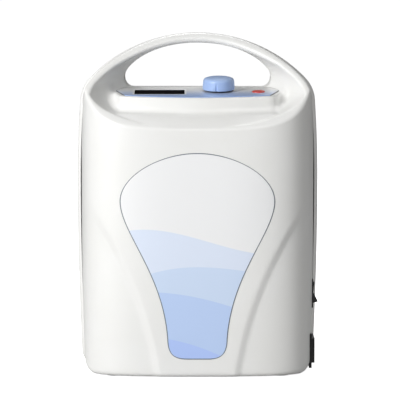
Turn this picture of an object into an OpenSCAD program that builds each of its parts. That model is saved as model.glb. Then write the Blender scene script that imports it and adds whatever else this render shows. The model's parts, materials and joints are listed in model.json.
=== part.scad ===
// Compression therapy pump: a two-shell case with a carrying arch, a sloping control console,
// mains switch and inlet on the right side, and the air pump and air distributor inside.
// Front faces -Y, the switch and inlet are on +X, and the feet stand on Z = 0.

/* [Case] */
// Height from the table to the top of the carrying arch
case_h = 247; // [240:1:256]
// Greatest width, across the rear shell
case_w = 178; // [174:1:190]
// Depth from the front face to the rear face
case_d = 112; // [108:1:122]
// Wall thickness of both shells
wall = 2.5; // [2.1:0.1:2.8]
// Depth of the rear shell, from its back to the parting line
rear_d = 44; // [43:1:48]
// How far the front shell's sides stand in from the rear shell's
side_step = 4; // [3:0.5:5]
// Share of that step that is left up on the arch
arch_step = 0.4; // [0.2:0.05:1]
// How much each side draws in from the waist down to the table
foot_in = 3.6; // [2.5:0.1:4.2]
// How much each side draws in from the waist up to the shoulder
shoulder_in = 2; // [1:0.1:3]
// Height of the widest place
waist_z = 139; // [120:1:150]
// Radius of the lower corners, seen from the front
corner_r = 9; // [7:0.5:11]
// Roundness of the front in plan, as a superellipse power
front_power = 4; // [3.5:0.1:4.5]
// Roundness of the back in plan, as a superellipse power
rear_power = 5; // [4:0.1:6]

/* [Carrying arch and scoop] */
// Radius of the top of the arch, seen from the front
arch_r = 112.5; // [108:0.5:120]
// Radius of the arch's shoulders
shoulder_r = 25.6; // [22:0.1:30]
// Thickness of the bar at the middle of the arch
bar_t = 6.6; // [5.8:0.1:8]
// Height of the arch's top above the front lip of the scoop
lip_drop = 67; // [65:1:69]
// Flat length of the front shell's top, from the sloping rim back to the parting line
arch_land = 3.3; // [2.5:0.1:4]
// Width of the rim beside the scoop
rim_edge = 9.5; // [8.5:0.5:11]
// Distance in front of the parting line where the bowl ends and the hand gap runs straight back
bowl_end = 2; // [1:0.5:4]
// Height of the arch's top above the widest place of the scoop
rim_drop = 40; // [37:1:43]
// Half the width of the hand gap in the back
gap_half = 54.2; // [52:0.2:56]
// Height of the arch's top above the deck behind the console
deck_drop = 40.5; // [40:0.5:44]
// Height of the arch's top above the place where the back starts to lean forward
lean_drop = 58; // [57:1:59]
// Lean of the back above that place
lean_angle = 20; // [18:0.1:21]

/* [Console] */
// Distance of the panel's front edge in front of the parting line
panel_reach = 46.5; // [46:0.5:48]
// Height of the arch's top above the middle of the panel's front edge
panel_drop = 45; // [44:0.5:46]
// Tilt of the panel towards the user
panel_tilt = 7.5; // [7:0.1:8]
// Length of the panel from front to back
panel_l = 43.5; // [43:0.1:44]
// Half the width of the panel's front edge
panel_front = 53.6; // [52:0.2:55]
// Half the width between the panel's tips
panel_tips = 61; // [60:0.2:62]
// How far the panel's front corners lie behind the middle of its edge
panel_bow = 7.5; // [6:0.5:8.5]
// Margin of the console round the panel
panel_margin = 2.6; // [2.4:0.1:2.8]
// Thickness of the printed membrane
membrane_t = 0.4; // [0.3:0.05:0.6]
// Width of the display window
window_w = 36.6; // [34:0.2:38]
// Length of the display window, front to back
window_l = 18; // [16:0.2:19]
// X of the display's middle
window_x = -27.6; // [-29:0.2:-26]
// Distance of the display's middle behind the panel's front edge
window_u = 21; // [20:0.5:22]

/* [Knob and start button] */
// Diameter of the knob
knob_d = 23.6; // [22:0.2:25]
// Height of the knob above the panel
knob_h = 10.5; // [9:0.5:12]
// X of the knob's axis
knob_x = 15.5; // [15:0.5:17]
// Distance of the knob's axis behind the panel's front edge
knob_u = 26; // [25:0.5:27]
// Gap between the knob and the panel
knob_gap = 0.5; // [0.3:0.1:0.8]
// Diameter of the control's shaft
shaft_d = 6; // [5:0.1:6.4]
// Number of grip grooves in the knob
knob_grooves = 5; // [4:1:8]
// Direction of the first groove, turned from the front towards the left
groove_turn = 8.7; // [0:0.1:20]
// Diameter of the start button
button_d = 9.3; // [8.5:0.1:10]
// X of the start button
button_x = 44.5; // [43.5:0.5:45.5]
// Distance of the start button behind the panel's front edge
button_u = 22; // [20:0.5:24]
// Travel of the start button
button_travel = 0.8; // [0.5:0.1:1]
// Height of the start button above the membrane
button_rise = 0.6; // [0.4:0.1:0.8]

/* [Front label] */
// Distance of the label's top below the lip of the scoop
label_drop = 15.4; // [13:0.2:20]
// Z of the label's bottom
label_bottom = 12.2; // [10:0.5:16]
// Half the label's greatest width
label_half = 56.2; // [54:0.2:58]
// Half the label's width near its foot
label_foot = 21.5; // [20:0.5:23]
// Thickness of the label, which lies flush in its recess
label_t = 0.4; // [0.3:0.05:0.6]
// Depth of the recessed lower corners beside the raised front
relief_t = 1.6; // [1:0.1:2]

/* [Mains side] */
// Height of the inlet's flange
inlet_h = 25; // [24:0.5:26]
// Length of the inlet's flange, front to back
inlet_l = 31; // [29:0.5:32]
// Z of the inlet's middle
inlet_z = 16.2; // [16:0.1:17]
// Y of the inlet's and the switch's middle
mains_y = -12; // [-13:0.5:-11]
// Height of the switch's bezel
rocker_h = 21; // [20:0.5:22]
// Length of the switch's bezel, front to back
rocker_l = 15; // [14:0.5:16]
// Z of the switch's middle
rocker_z = 57.5; // [56:0.5:60]
// Angle that the rocker turns through
rocker_swing = 20; // [16:1:22]

/* [Air pump] */
// X of the pump's middle
pump_x = -18; // [-20:0.5:-18]
// Z of the pump's middle
pump_z = 50; // [49:0.5:52]
// Distance of the armature's axis in front of the back's outside
pump_reach = 43; // [42:0.5:44]
// Diameter of the pump heads
head_d = 42; // [40:1:44]
// Length of each pump head
head_l = 14; // [12:0.5:16]
// Distance between the two diaphragms
diaphragm_gap = 76; // [74:1:80]
// Thickness of a diaphragm
diaphragm_t = 1.2; // [1:0.1:1.6]
// Diameter of the armature's studs
stud_d = 6; // [5:0.1:7]
// Armature travel to each side
armature_travel = 1; // [0.6:0.1:1.2]

/* [Air distributor and outlets] */
// X of the distributor's axis
valve_x = -38; // [-39:0.5:-36]
// Height of the distributor's axis above the middle between the pump and the outlets
valve_lift = 1.5; // [0:0.5:3]
// Diameter of the distributor's body
valve_d = 42; // [40:1:44]
// Diameter of the rotor
rotor_d = 30; // [28:0.5:32]
// Distance between the two air outlets
outlet_gap = 24; // [22:0.5:26]
// Distance of the air outlets below the deck behind the console
outlet_drop = 36.5; // [34:0.5:39]
// Bore of an air outlet
outlet_bore = 8; // [7:0.1:9]
// Outer diameter of the inner air tubes
tube_d = 7; // [6.5:0.1:7.5]
// Bore of the inner air tubes
tube_bore = 4.4; // [4:0.1:4.8]

/* [Fasteners and feet] */
// Diameter of the case screws
screw_d = 3.4; // [3:0.1:3.6]
// Diameter of the case screws' heads
screw_head_d = 6.4; // [6:0.1:6.8]
// Diameter of the board and pump screws
small_screw_d = 2.6; // [2.2:0.1:2.9]
// Height of the case above the table, on its feet
foot_h = 1.2; // [1:0.1:1.6]
// Diameter of a foot
foot_d = 14; // [12:0.5:16]

/* [Hidden] */
$fn = 48;

front_y = -case_d / 2;
rear_y = case_d / 2;
parting_y = rear_y - rear_d;
lip_h = case_h - lip_drop;
rim_z = case_h - rim_drop;
deck_z = case_h - deck_drop;
lean_z = case_h - lean_drop;
hood_angle = atan2(lip_drop, parting_y - arch_land - front_y);
panel_y = parting_y - panel_reach;
panel_z = case_h - panel_drop;
label_top = lip_h - label_drop;
label_h = label_top - label_bottom;
pump_y = rear_y - pump_reach;
outlet_z = deck_z - outlet_drop;
valve_z = (pump_z + head_d / 2 + outlet_z) / 2 + valve_lift;
front_scale = 1 - 2 * side_step / case_w;
gap = 0.3;          // clearance between pieces that don't touch
fit = 0.05;         // radial clearance of a running fit
far = 400;          // longer than anything in the case

// ---- curves ----
function arc(cx, cy, r, a0, a1, n) =
    [for (k = [0:n]) let (a = a0 + (a1 - a0) * k / n) [cx + r * cos(a), cy + r * sin(a)]];
function bez(a, b, c, d, n) =
    [for (k = [0:n]) let (t = k / n, s = 1 - t) s*s*s*a + 3*s*s*t*b + 3*s*t*t*c + t*t*t*d];
function flip(p) = [for (k = [len(p) - 1:-1:0]) [-p[k][0], p[k][1]]];
function both(p) = concat(p, flip(p));
function round_rect(w, h, r) = concat(
    arc(w/2 - r, h/2 - r, r, 0, 90, 5), arc(r - w/2, h/2 - r, r, 90, 180, 5),
    arc(r - w/2, r - h/2, r, 180, 270, 5), arc(w/2 - r, r - h/2, r, 270, 360, 5));

// ---- case outlines, each drawn in by i ----
arch_z = case_h - arch_r;
shoulder_x = case_w / 2 - shoulder_in - shoulder_r;
shoulder_z = arch_z + sqrt(pow(arch_r - shoulder_r, 2) - pow(shoulder_x, 2));
shoulder_a = atan2(shoulder_z - arch_z, shoulder_x);
function half_w(z) = case_w / 2 - (z > waist_z
    ? shoulder_in * pow((z - waist_z) / (shoulder_z - waist_z), 2)
    : foot_in * pow((waist_z - z) / waist_z, 2));
// Front outline in X and Z
function outline(i) = both(concat(
    arc(half_w(corner_r) - corner_r, foot_h + corner_r, corner_r - i, -90, 0, 6),
    [for (k = [1:9]) let (z = foot_h + corner_r + (shoulder_z - foot_h - corner_r) * k / 10)
        [half_w(z) - i, z]],
    arc(shoulder_x, shoulder_z, shoulder_r - i, 0, shoulder_a, 6),
    arc(0, arch_z, arch_r - i, shoulder_a, 90, 10)));
// The front shell's outline, narrower by the step, which fades towards the arch
function fade(z) = let (t = min(max((z - shoulder_z + 6) / 36, 0), 1)) t * t * (3 - 2 * t);
function narrowed(p) = [for (q = p)
    [q[0] * (1 - 2 * side_step / case_w * (1 - (1 - arch_step) * fade(q[1]))), q[1]]];
// Half of a superellipse in plan: half-width a, depth b, power p
function half_super(a, b, p) = [for (k = [0:2:180])
    [a * sign(cos(k)) * pow(abs(cos(k)), 2 / p), b * pow(sin(k), 2 / p)]];
function plan_front(i) = concat(
    [for (q = half_super(case_w / 2 * front_scale - i, parting_y - front_y - i, front_power))
        [q[0], parting_y - q[1]]],
    i > 0 ? [[i - case_w / 2 * front_scale, parting_y + 1],
             [case_w / 2 * front_scale - i, parting_y + 1]] : []);
function plan_rear(i) = concat(
    [for (q = half_super(case_w / 2 - i, rear_d - i, rear_power)) [q[0], parting_y + q[1]]],
    i > 0 ? [[i - case_w / 2, parting_y - 1], [case_w / 2 - i, parting_y - 1]] : []);
// Side outline in Y and Z
function side(i) = let (c = cos(hood_angle), t = tan(hood_angle), d = cos(lean_angle), l = tan(lean_angle)) [
    [front_y + i, foot_h + i],
    [front_y + i, lip_h - i / c + i * t],
    [front_y + (case_h - i - lip_h + i / c) / t, case_h - i],
    [rear_y - i / d - (case_h - i - lean_z) * l, case_h - i],
    [rear_y - i, lean_z - i * (1 / d - 1) / l],
    [rear_y - i, foot_h + i]];

module along_x(p, x0, x1) translate([x0, 0, 0]) rotate([90, 0, 90]) linear_extrude(x1 - x0) polygon(p);
module along_y(p, y0, y1) translate([0, y1, 0]) rotate([90, 0, 0]) linear_extrude(y1 - y0) polygon(p);
module along_z(p, z0, z1) translate([0, 0, z0]) linear_extrude(z1 - z0) polygon(p);
module rod_x(r, x0, x1) translate([x0, 0, 0]) rotate([0, 90, 0]) cylinder(r = r, h = x1 - x0);
module rod_y(r, y0, y1) translate([0, y1, 0]) rotate([90, 0, 0]) cylinder(r = r, h = y1 - y0);
module box(x0, x1, y0, y1, z0, z1) translate([x0, y0, z0]) cube([x1 - x0, y1 - y0, z1 - z0]);

module front_solid(i) intersection() {
    along_y(narrowed(outline(i)), front_y - 1, parting_y + (i > 0 ? 1 : 0));
    along_x(side(i), -far, far);
    along_z(plan_front(i), -1, case_h + 1);
}
module rear_solid(i) intersection() {
    along_y(outline(i), parting_y - (i > 0 ? 1 : 0), rear_y + 1);
    along_x(side(i), -far, far);
    along_z(plan_rear(i), -1, case_h + 1);
}

// ---- scoop: a bowl from the rim in the sloping plane to the hand gap, which then runs straight
// back through the rear shell; grown by e ----
rim_half = case_w / 2 - rim_edge;
rim_top = case_h - bar_t;
function rim(e) = both(concat(
    bez([0, lip_h - e], [rim_half * 0.555, lip_h - e],
        [rim_half * 0.97 + e, rim_z - 14], [rim_half + e, rim_z], 10),
    bez([rim_half + e, rim_z], [rim_half + e, rim_z + 9 + e],
        [rim_half * 0.46, rim_top + e], [0, rim_top + e], 12)));
gap_top = rim_top - 0.5;
function hand_gap(e) = both(concat(
    [[gap_half - 8, deck_z - 16 - e], [gap_half - 1 + e, deck_z]],
    bez([gap_half + e, deck_z + 8], [gap_half + e, deck_z + 15],
        [gap_half * 0.68, gap_top + e], [0, gap_top + e], 10)));
floor_front = 15;   // length of the slope just behind the lip
floor_rise = 10;    // its rise
function above_floor(e) = [
    [front_y - 20, lip_h - 12 - e], [front_y, lip_h - e], [front_y + floor_front, lip_h + floor_rise - e],
    [front_y + 46, lip_h + 14 - e], [parting_y, deck_z - e], [rear_y + 20, deck_z - e],
    [rear_y + 20, case_h + 20], [front_y - 20, case_h + 20]];
module scoop(e) intersection() {
    union() {
        hull() {
            intersection() {
                along_y(rim(e), -far, far);
                translate([0, front_y, lip_h]) rotate([hood_angle, 0, 0])
                    translate([-far / 2, -40, 0.5]) cube([far, 200, 1.5]);
            }
            along_y(hand_gap(e), parting_y - bowl_end - 1, parting_y - bowl_end);
        }
        along_y(hand_gap(e), parting_y - bowl_end - 0.5, rear_y + 6);
    }
    along_x(above_floor(e), -far, far);
}

// ---- console ----
module on_panel(x, u, h = 0) translate([0, panel_y, panel_z]) rotate([panel_tilt, 0, 0])
    translate([x, u, h]) children();
function panel_shape(g) = both(concat(
    [for (k = [0:0.125:0.99]) [(panel_front + g) * k, panel_bow * k * k - g]],
    [[panel_front + g, panel_bow - g * 0.7], [panel_tips + g, panel_l - 13.5],
     [panel_front - 3 + g, panel_l + g * 0.9]]));
module panel_block(g, h0, h1) on_panel(0, 0) along_z(panel_shape(g), h0, h1);
ceiling = wall;                      // thickness of the console's top
board_top = -10;                     // top face of the control board, below the panel's face
board_t = 1.6;
board_x = 53;                        // half the control board's width
board_u0 = 8;
board_u1 = 38;
board_edge = 3;                      // distance of its holes from its edges
board_holes = [for (s = [-1, 1], u = [board_u0 + board_edge, board_u1 - board_edge])
    [s * (board_x - board_edge), u]];
face = -membrane_t;                  // the console's own top, under the membrane
bush_r = shaft_d / 2 + 1.2;          // the control's bushing
button_stem = 5;
post_r = 3;

// ---- screw places ----
low_screw_in = 43;                   // distance of each case screw from the side, and its height
low_screw_z = 12.5;
side_screw_in = 14;
side_screw_z = 100;
high_screw_in = 17;
high_screw_rise = 3;                 // above the lip
case_screw_at = [for (s = [-1, 1], p = [[low_screw_in, low_screw_z], [side_screw_in, side_screw_z],
    [high_screw_in, lip_h + high_screw_rise]]) [s * (case_w / 2 - p[0]), p[1]]];
screw_reach = 10;                    // length of a case screw in front of the parting line
screw_head_h = 2.6;
screw_slot = [3.6, 0.8, 1.2];        // length, width and depth of the cross in its head
boss_r = screw_head_d / 2 + 1.6;
head_sink = 8;                       // depth of the screw wells
head_seat = rear_y - head_sink;      // where a case screw's head seats

// ---- mains side ----
inlet_wall = half_w(inlet_z) * front_scale - 0.9;
rocker_wall = half_w(rocker_z) * front_scale - 1.2;
inlet_body_h = inlet_h - 5;
inlet_body_l = inlet_l - 4;
socket_h = 16;
socket_l = 23;
socket_depth = 16;
inlet_depth = 24;
rocker_body_h = rocker_h - 2.4;
rocker_body_l = rocker_l - 2.4;
module mains(x, z) translate([x, mains_y, z]) children();

// ---- inside of the back ----
inner_back = rear_y - wall;
plate_in = 10;                       // pump plate's front face, in from the inside of the back
plate_y = inner_back - plate_in;
plate_t = 2;
plate_w = 100;
plate_h = 64;
plate_edge = 6;                      // distance of the plate's holes from its edges
pump_holes = [for (s = [-1, 1], t = [-1, 1])
    [pump_x + s * (plate_w / 2 - plate_edge), pump_z + t * (plate_h / 2 - plate_edge)]];
grommet_r = 6;                       // rubber mounts in those holes
grommet_t = 2;
grommet_foot = 2.5;
pump_screw_l = 8;                    // length behind the plate
pump_head_r = 4;
pump_head_t = 2;
supply_w = 42;
supply_in = 67;                      // distance of the board's left edge from the case's right side
supply_x = case_w / 2 - supply_in;
supply_z = 88;
supply_h = 62;
supply_edge = 4;
board_gap = 6;                       // from the inside of the back to the board
supply_y = inner_back - board_gap;   // rear face of the supply board
supply_holes = [for (x = [supply_edge, supply_w - supply_edge], z = [supply_edge, supply_h - supply_edge])
    [supply_x + x, supply_z + z]];
winding_w = 34;                      // transformer: its winding, and the core round it
winding_h = 24;
winding_y0 = 2;
winding_y1 = 24;
laminate_w = 22;
laminate_h = 30;
laminate_d = 26;
capacitor_r = 7;
capacitor_l = 22;
motor_r = valve_d / 2 + 1;
motor_l = 14;
outlet_inset = 2;
outlet_barrel = 9;
outlet_seat = rear_y - outlet_inset; // face that an outlet's flange seats on
outlet_end = inner_back - outlet_barrel; // inner end of an outlet's barrel
outlet_x = [valve_x - outlet_gap / 2, valve_x + outlet_gap / 2];
vent_w = 2.6;                        // slots in the back, above the supply board
vent_h = 22;
vent_step = 6;
vent_drop = 26.5;                    // below the deck
vent_x = supply_x - 8;
foot_in_x = 29;                      // places of the feet, in from the sides, the front and the back
foot_in_front = 22;
foot_in_rear = 20;
feet_at = [for (s = [-1, 1], y = [front_y + foot_in_front, rear_y - foot_in_rear])
    [s * (case_w / 2 - foot_in_x), y]];
foot_recess = 0.8;

// Label outline in X and Z: one curve over the shoulders, one down the waist and one round the foot
function label_shape(g) = both(concat(
    bez([7, label_bottom - g], [label_foot - 5, label_bottom - g],
        [label_foot + g, label_bottom + 3], [label_foot + 0.2 + g, label_bottom + label_h * 0.1], 6),
    bez([label_foot + 0.2 + g, label_bottom + label_h * 0.1],
        [label_foot + 3.5 + g, label_bottom + label_h * 0.413],
        [label_half + g, label_bottom + label_h * 0.604],
        [label_half + g, label_bottom + label_h * 0.748], 12),
    bez([label_half + g, label_bottom + label_h * 0.748], [label_half + g, label_top - label_h * 0.1115],
        [label_half / 2, label_top + g], [0, label_top + g], 10)));
// One lower corner of the front, outside the raised goblet shape
relief_x = label_foot + 5.5;
relief_z = label_bottom + label_h * 0.761;
function relief_corner() = concat(
    bez([relief_x, -1], [relief_x + 9, relief_z * 0.48], [relief_x + 35, relief_z * 0.8],
        [case_w / 2 - 9, relief_z], 10),
    [[case_w, relief_z], [case_w, -1]]);
// The front skin from its face back to depth t
module skin(t) difference() {
    along_z(plan_front(0), -1, lip_h);
    translate([0, t, 0]) along_z(plan_front(0), -2, lip_h + 1);
}

module front_bosses() intersection() {
    front_solid(0.2);
    for (p = case_screw_at) translate([p[0], 0, p[1]]) rod_y(boss_r, front_y - 1, parting_y);
}
module console_posts() on_panel(0, 0)
    for (p = board_holes) translate([p[0], p[1], board_top]) cylinder(r = post_r, h = -board_top - ceiling);
module mains_pads() intersection() {
    front_solid(0);
    union() {
        box(inlet_wall - wall, far, mains_y - inlet_l / 2 - 1.5, parting_y - 2.6,
            foot_h, inlet_z + inlet_h / 2 + 2);
        box(rocker_wall - wall, far, mains_y - rocker_l / 2 - 2, mains_y + rocker_l / 2 + 2,
            rocker_z - rocker_h / 2 - 2, rocker_z + rocker_h / 2 + 2);
    }
}

module front_shell() color("whitesmoke") difference() {
    union() {
        difference() {
            union() {
                difference() { front_solid(0); scoop(0); }
                intersection() {
                    panel_block(panel_margin, -24, face);
                    along_z(plan_front(0.2), lip_h, case_h);
                }
            }
            difference() { front_solid(wall); scoop(wall); }
            panel_block(panel_margin - wall, -60, face - ceiling);
        }
        front_bosses();
        console_posts();
        mains_pads();
    }
    for (p = case_screw_at) translate([p[0], 0, p[1]])
        rod_y(screw_d / 2 + fit, parting_y - screw_reach - 2, parting_y + 1);
    for (p = board_holes) on_panel(p[0], p[1], board_top - 1) cylinder(r = small_screw_d / 2 + fit, h = 7);
    on_panel(window_x, window_u, -ceiling - 3) linear_extrude(9) square([window_w, window_l], center = true);
    on_panel(knob_x, knob_u, -ceiling - 3) cylinder(r = bush_r + 0.2, h = 9);
    on_panel(button_x, button_u, -ceiling - 3) cylinder(r = button_d / 2 + 0.2, h = 9);
    intersection() { along_y(label_shape(0), -far, front_y + 30); skin(label_t); }
    for (s = [0, 1]) mirror([s, 0, 0]) intersection() {
        along_y(relief_corner(), -far, parting_y - 20);
        skin(relief_t);
    }
    box(inlet_wall, far, mains_y - inlet_l / 2 - gap, mains_y + inlet_l / 2 + gap,
        inlet_z - inlet_h / 2 - gap, inlet_z + inlet_h / 2 + gap);
    mains(inlet_wall - 10, inlet_z) rod_box(20, inlet_body_l + 0.4, inlet_body_h + 0.4);
    box(rocker_wall, far, mains_y - rocker_l / 2 - gap, mains_y + rocker_l / 2 + gap,
        rocker_z - rocker_h / 2 - gap, rocker_z + rocker_h / 2 + gap);
    mains(rocker_wall - 10, rocker_z) rod_box(20, rocker_body_l + 0.4, rocker_body_h + 0.4);
    for (p = feet_at) if (p[1] < parting_y) translate([p[0], p[1], foot_h - 1])
        cylinder(r = foot_d / 2 + 0.1, h = foot_recess + 1);
}
// A box of length l in X from the origin, centred in Y and Z
module rod_box(l, y, z) translate([0, -y / 2, -z / 2]) cube([l, y, z]);

module rear_bosses() intersection() {
    rear_solid(0.2);
    union() {
        for (p = case_screw_at) translate([p[0], 0, p[1]]) rod_y(boss_r, parting_y, rear_y);
        for (p = pump_holes) translate([p[0], 0, p[1]]) rod_y(4, plate_y + plate_t + grommet_foot, rear_y);
        for (p = supply_holes) translate([p[0], 0, p[1]]) rod_y(3, supply_y, rear_y);
        valve() rod_y(10, inner_back - motor_seat, rear_y);
        for (x = outlet_x) translate([x, 0, outlet_z]) rod_y(outlet_bore / 2 + 6, inner_back - 3, rear_y);
    }
}
module rear_shell() color("gainsboro") difference() {
    union() {
        difference() {
            rear_solid(0);
            scoop(0);
            difference() { rear_solid(wall); scoop(wall); }
        }
        rear_bosses();
    }
    for (p = case_screw_at) translate([p[0], 0, p[1]]) {
        rod_y(screw_d / 2 + 0.2, parting_y - 1, rear_y + 1);
        rod_y(screw_head_d / 2 + 0.2, head_seat, rear_y + 1);
    }
    for (p = pump_holes) translate([p[0], 0, p[1]])
        rod_y(small_screw_d / 2 + fit, plate_y, plate_y + plate_t + pump_screw_l + 1);
    for (p = supply_holes) translate([p[0], 0, p[1]])
        rod_y(small_screw_d / 2 + fit, supply_y - 1, supply_y + 6);
    for (x = outlet_x) translate([x, 0, outlet_z]) {
        rod_y(outlet_bore / 2 + 1.7, inner_back - 4, rear_y + 1);
        rod_y(outlet_bore / 2 + 4.2, outlet_seat, rear_y + 1);
    }
    // Vent slots
    for (k = [0:7]) translate([vent_x + vent_step * k, rear_y - 5, deck_z - vent_drop - vent_h])
        cube([vent_w, 6, vent_h]);
    for (p = feet_at) if (p[1] > parting_y) translate([p[0], p[1], foot_h - 1])
        cylinder(r = foot_d / 2 + 0.1, h = foot_recess + 1);
}

module front_label() color("lightsteelblue") intersection() {
    along_y(label_shape(-0.1), -far, front_y + 30);
    skin(label_t);
}

module membrane_panel() color("lightgrey") difference() {
    panel_block(0, face, 0);
    on_panel(window_x, window_u, -3) linear_extrude(9) square([window_w, window_l], center = true);
    on_panel(knob_x, knob_u, -3) cylinder(r = bush_r + 0.2, h = 9);
    on_panel(button_x, button_u, -3) cylinder(r = button_d / 2 + 0.2, h = 9);
}
module display_window() color("black") on_panel(window_x, window_u, face - ceiling) {
    linear_extrude(ceiling + membrane_t - 0.1) polygon(round_rect(window_w - 0.3, window_l - 0.3, 0.8));
}
display_h = -board_top - ceiling - membrane_t - 0.2;
module display_module() color("dimgrey") on_panel(window_x, window_u, board_top) difference() {
    linear_extrude(display_h) square([window_w + 1, window_l + 1], center = true);
    // Seven-segment windows, three digits
    for (k = [-1, 0, 1]) for (v = [-1, 1]) translate([12 * k, 3.4 * v, display_h - 0.5])
        linear_extrude(1) difference() { square([8, 6.8], center = true); square([5, 4.2], center = true); }
}
module control_board() color("seagreen") difference() {
    on_panel(0, 0, board_top - board_t) linear_extrude(board_t) polygon([
        [-board_x, board_u0], [board_x, board_u0], [board_x, board_u1], [-board_x, board_u1]]);
    for (p = board_holes) on_panel(p[0], p[1], board_top - 3) cylinder(r = small_screw_d / 2 + 0.2, h = 6);
}
module control_board_screws() color("silver") for (p = board_holes)
    on_panel(p[0], p[1], board_top - board_t) {
        cylinder(r = small_screw_d / 2, h = board_t + 5);
        translate([0, 0, -1.6]) cylinder(r = small_screw_d, h = 1.6);
    }

// Domed knob with grip grooves, bored for the shaft
module knob() color("lightsteelblue") on_panel(knob_x, knob_u, knob_gap) difference() {
    rotate_extrude() polygon(concat(
        [[0, 0], [knob_d / 2 - 0.4, 0], [knob_d / 2, 0.4]],
        bez([knob_d / 2 - 0.5, knob_h - knob_gap - 4], [knob_d / 2 - 0.8, knob_h - knob_gap - 1.2],
            [knob_d / 2 - 4, knob_h - knob_gap], [0, knob_h - knob_gap], 8)));
    for (k = [0:knob_grooves - 1]) rotate([0, 0, 360 / knob_grooves * k - 90 - groove_turn])
        translate([knob_d / 2 + 1.1, 0, -1]) cylinder(r = 2, h = knob_h + 2);
    translate([0, 0, -1]) cylinder(r = shaft_d / 2 + fit, h = knob_h - knob_gap - 1.5);
    translate([0, 0, -1]) cylinder(r = bush_r + 0.5, h = 2.5);
}
control_top = -ceiling - membrane_t - gap;
module control_shaft() color("silver") on_panel(knob_x, knob_u, board_top + 1.6) {
    cylinder(r = shaft_d / 2, h = knob_h - 2.8 - board_top - 1.6);
    cylinder(r = shaft_d / 2 + 3, h = 1.5);
}
module control_body() color("slategrey") difference() {
    union() {
        on_panel(knob_x, knob_u, board_top) linear_extrude(control_top - board_top)
            polygon(round_rect(16, 17, 2));
        on_panel(knob_x, knob_u, board_top) cylinder(r = bush_r, h = 1 - board_top);
    }
    on_panel(knob_x, knob_u, board_top + 1.3) cylinder(r = shaft_d / 2 + 3.3, h = 2.4);
    on_panel(knob_x, knob_u, board_top + 1) cylinder(r = shaft_d / 2 + fit, h = 20);
}
switch_h = 3.6;
module start_button() color("firebrick") on_panel(button_x, button_u) {
    rotate_extrude() polygon([[0, face - 1.6], [button_d / 2, face - 1.6], [button_d / 2, button_rise - 0.4],
        [button_d / 2 - 0.5, button_rise - 0.1], [0, button_rise]]);
    translate([0, 0, board_top + switch_h - 1.4 + button_travel]) cylinder(r = 1.7, h = 6);
    translate([0, 0, face - ceiling - 1.3]) cylinder(r = button_d / 2 + 1.4, h = 1.1);
    translate([0, 0, face - ceiling - 1.3]) cylinder(r = button_stem / 2, h = 3);
}
module start_switch() color("black") on_panel(button_x, button_u, board_top) difference() {
    linear_extrude(switch_h) square(6, center = true);
    translate([0, 0, switch_h - 1.7]) cylinder(r = 1.7 + fit, h = 3);
}
module pressure_sensor() color("darkslategrey") on_panel(-4, 14, board_top - board_t) {
    translate([-6, -6, -4]) cube([12, 12, 4]);
    translate([0, 0, -10]) difference() {
        cylinder(r = 2.4, h = 7);
        translate([0, 0, -1]) cylinder(r = 1.1, h = 6);
    }
}

// Bezel flange outside the wall, body inside it, open for the rocker
module rocker_housing() color("black") mains(rocker_wall, rocker_z) difference() {
    union() {
        rod_box(2, rocker_l, rocker_h);
        translate([-16, 0, 0]) rod_box(16.5, rocker_body_l, rocker_body_h);
    }
    translate([-9, 0, 0]) rod_box(12, rocker_body_l - 2.4, rocker_body_h - 2);
    translate([-0.6, 0, 0]) rod_y(1.5 + fit, -rocker_l, rocker_l);
}
rocker_half = rocker_body_h / 2 - 2;
rocker_tip = 5;
module rocker() color("black") mains(rocker_wall - 0.6, rocker_z) rotate([0, -rocker_swing / 2, 0]) {
    along_y([[rocker_tip, -rocker_half], [2.9, 0], [rocker_tip, rocker_half], [1, rocker_half + 0.4],
        [-2.4, 3.4], [-4.5, 0], [-2.4, -3.4], [1, -rocker_half - 0.4]],
        -rocker_body_l / 2 + 1.6, rocker_body_l / 2 - 1.6);
    rod_y(1.5, -rocker_body_l / 2 + 0.1, rocker_body_l / 2 - 0.1);
}
module rocker_terminals() color("goldenrod") mains(rocker_wall - 16, rocker_z)
    for (z = [-6, 0]) translate([-8, -2.4, z]) cube([8, 4.8, 0.8]);

module power_inlet() color("black") mains(inlet_wall, inlet_z) difference() {
    union() {
        rod_box(2, inlet_l, inlet_h);
        rod_box(4.2, inlet_body_l - 0.6, inlet_body_h - 2);
        translate([-inlet_depth, 0, 0]) rod_box(inlet_depth + 1, inlet_body_l, inlet_body_h);
    }
    // Socket with two chamfered lower corners
    translate([4.2 - socket_depth, 0, 0]) along_x([
        [-socket_l / 2, socket_h / 2], [socket_l / 2, socket_h / 2], [socket_l / 2, -socket_h / 2 + 4],
        [socket_l / 2 - 5, -socket_h / 2], [-socket_l / 2 + 5, -socket_h / 2],
        [-socket_l / 2, -socket_h / 2 + 4]],
        0, 30);
    for (p = inlet_pin_at) translate([-inlet_depth - 1, p[0], p[1]]) rod_box(20, 2.1, 4.1);
}
inlet_pin_at = [[-7, -2], [0, 2], [7, -2]];
module inlet_pins() color("silver") mains(inlet_wall, inlet_z)
    for (p = inlet_pin_at) translate([-inlet_depth - 5, p[0], p[1]]) rod_box(inlet_depth + 4, 2, 4);

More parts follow.
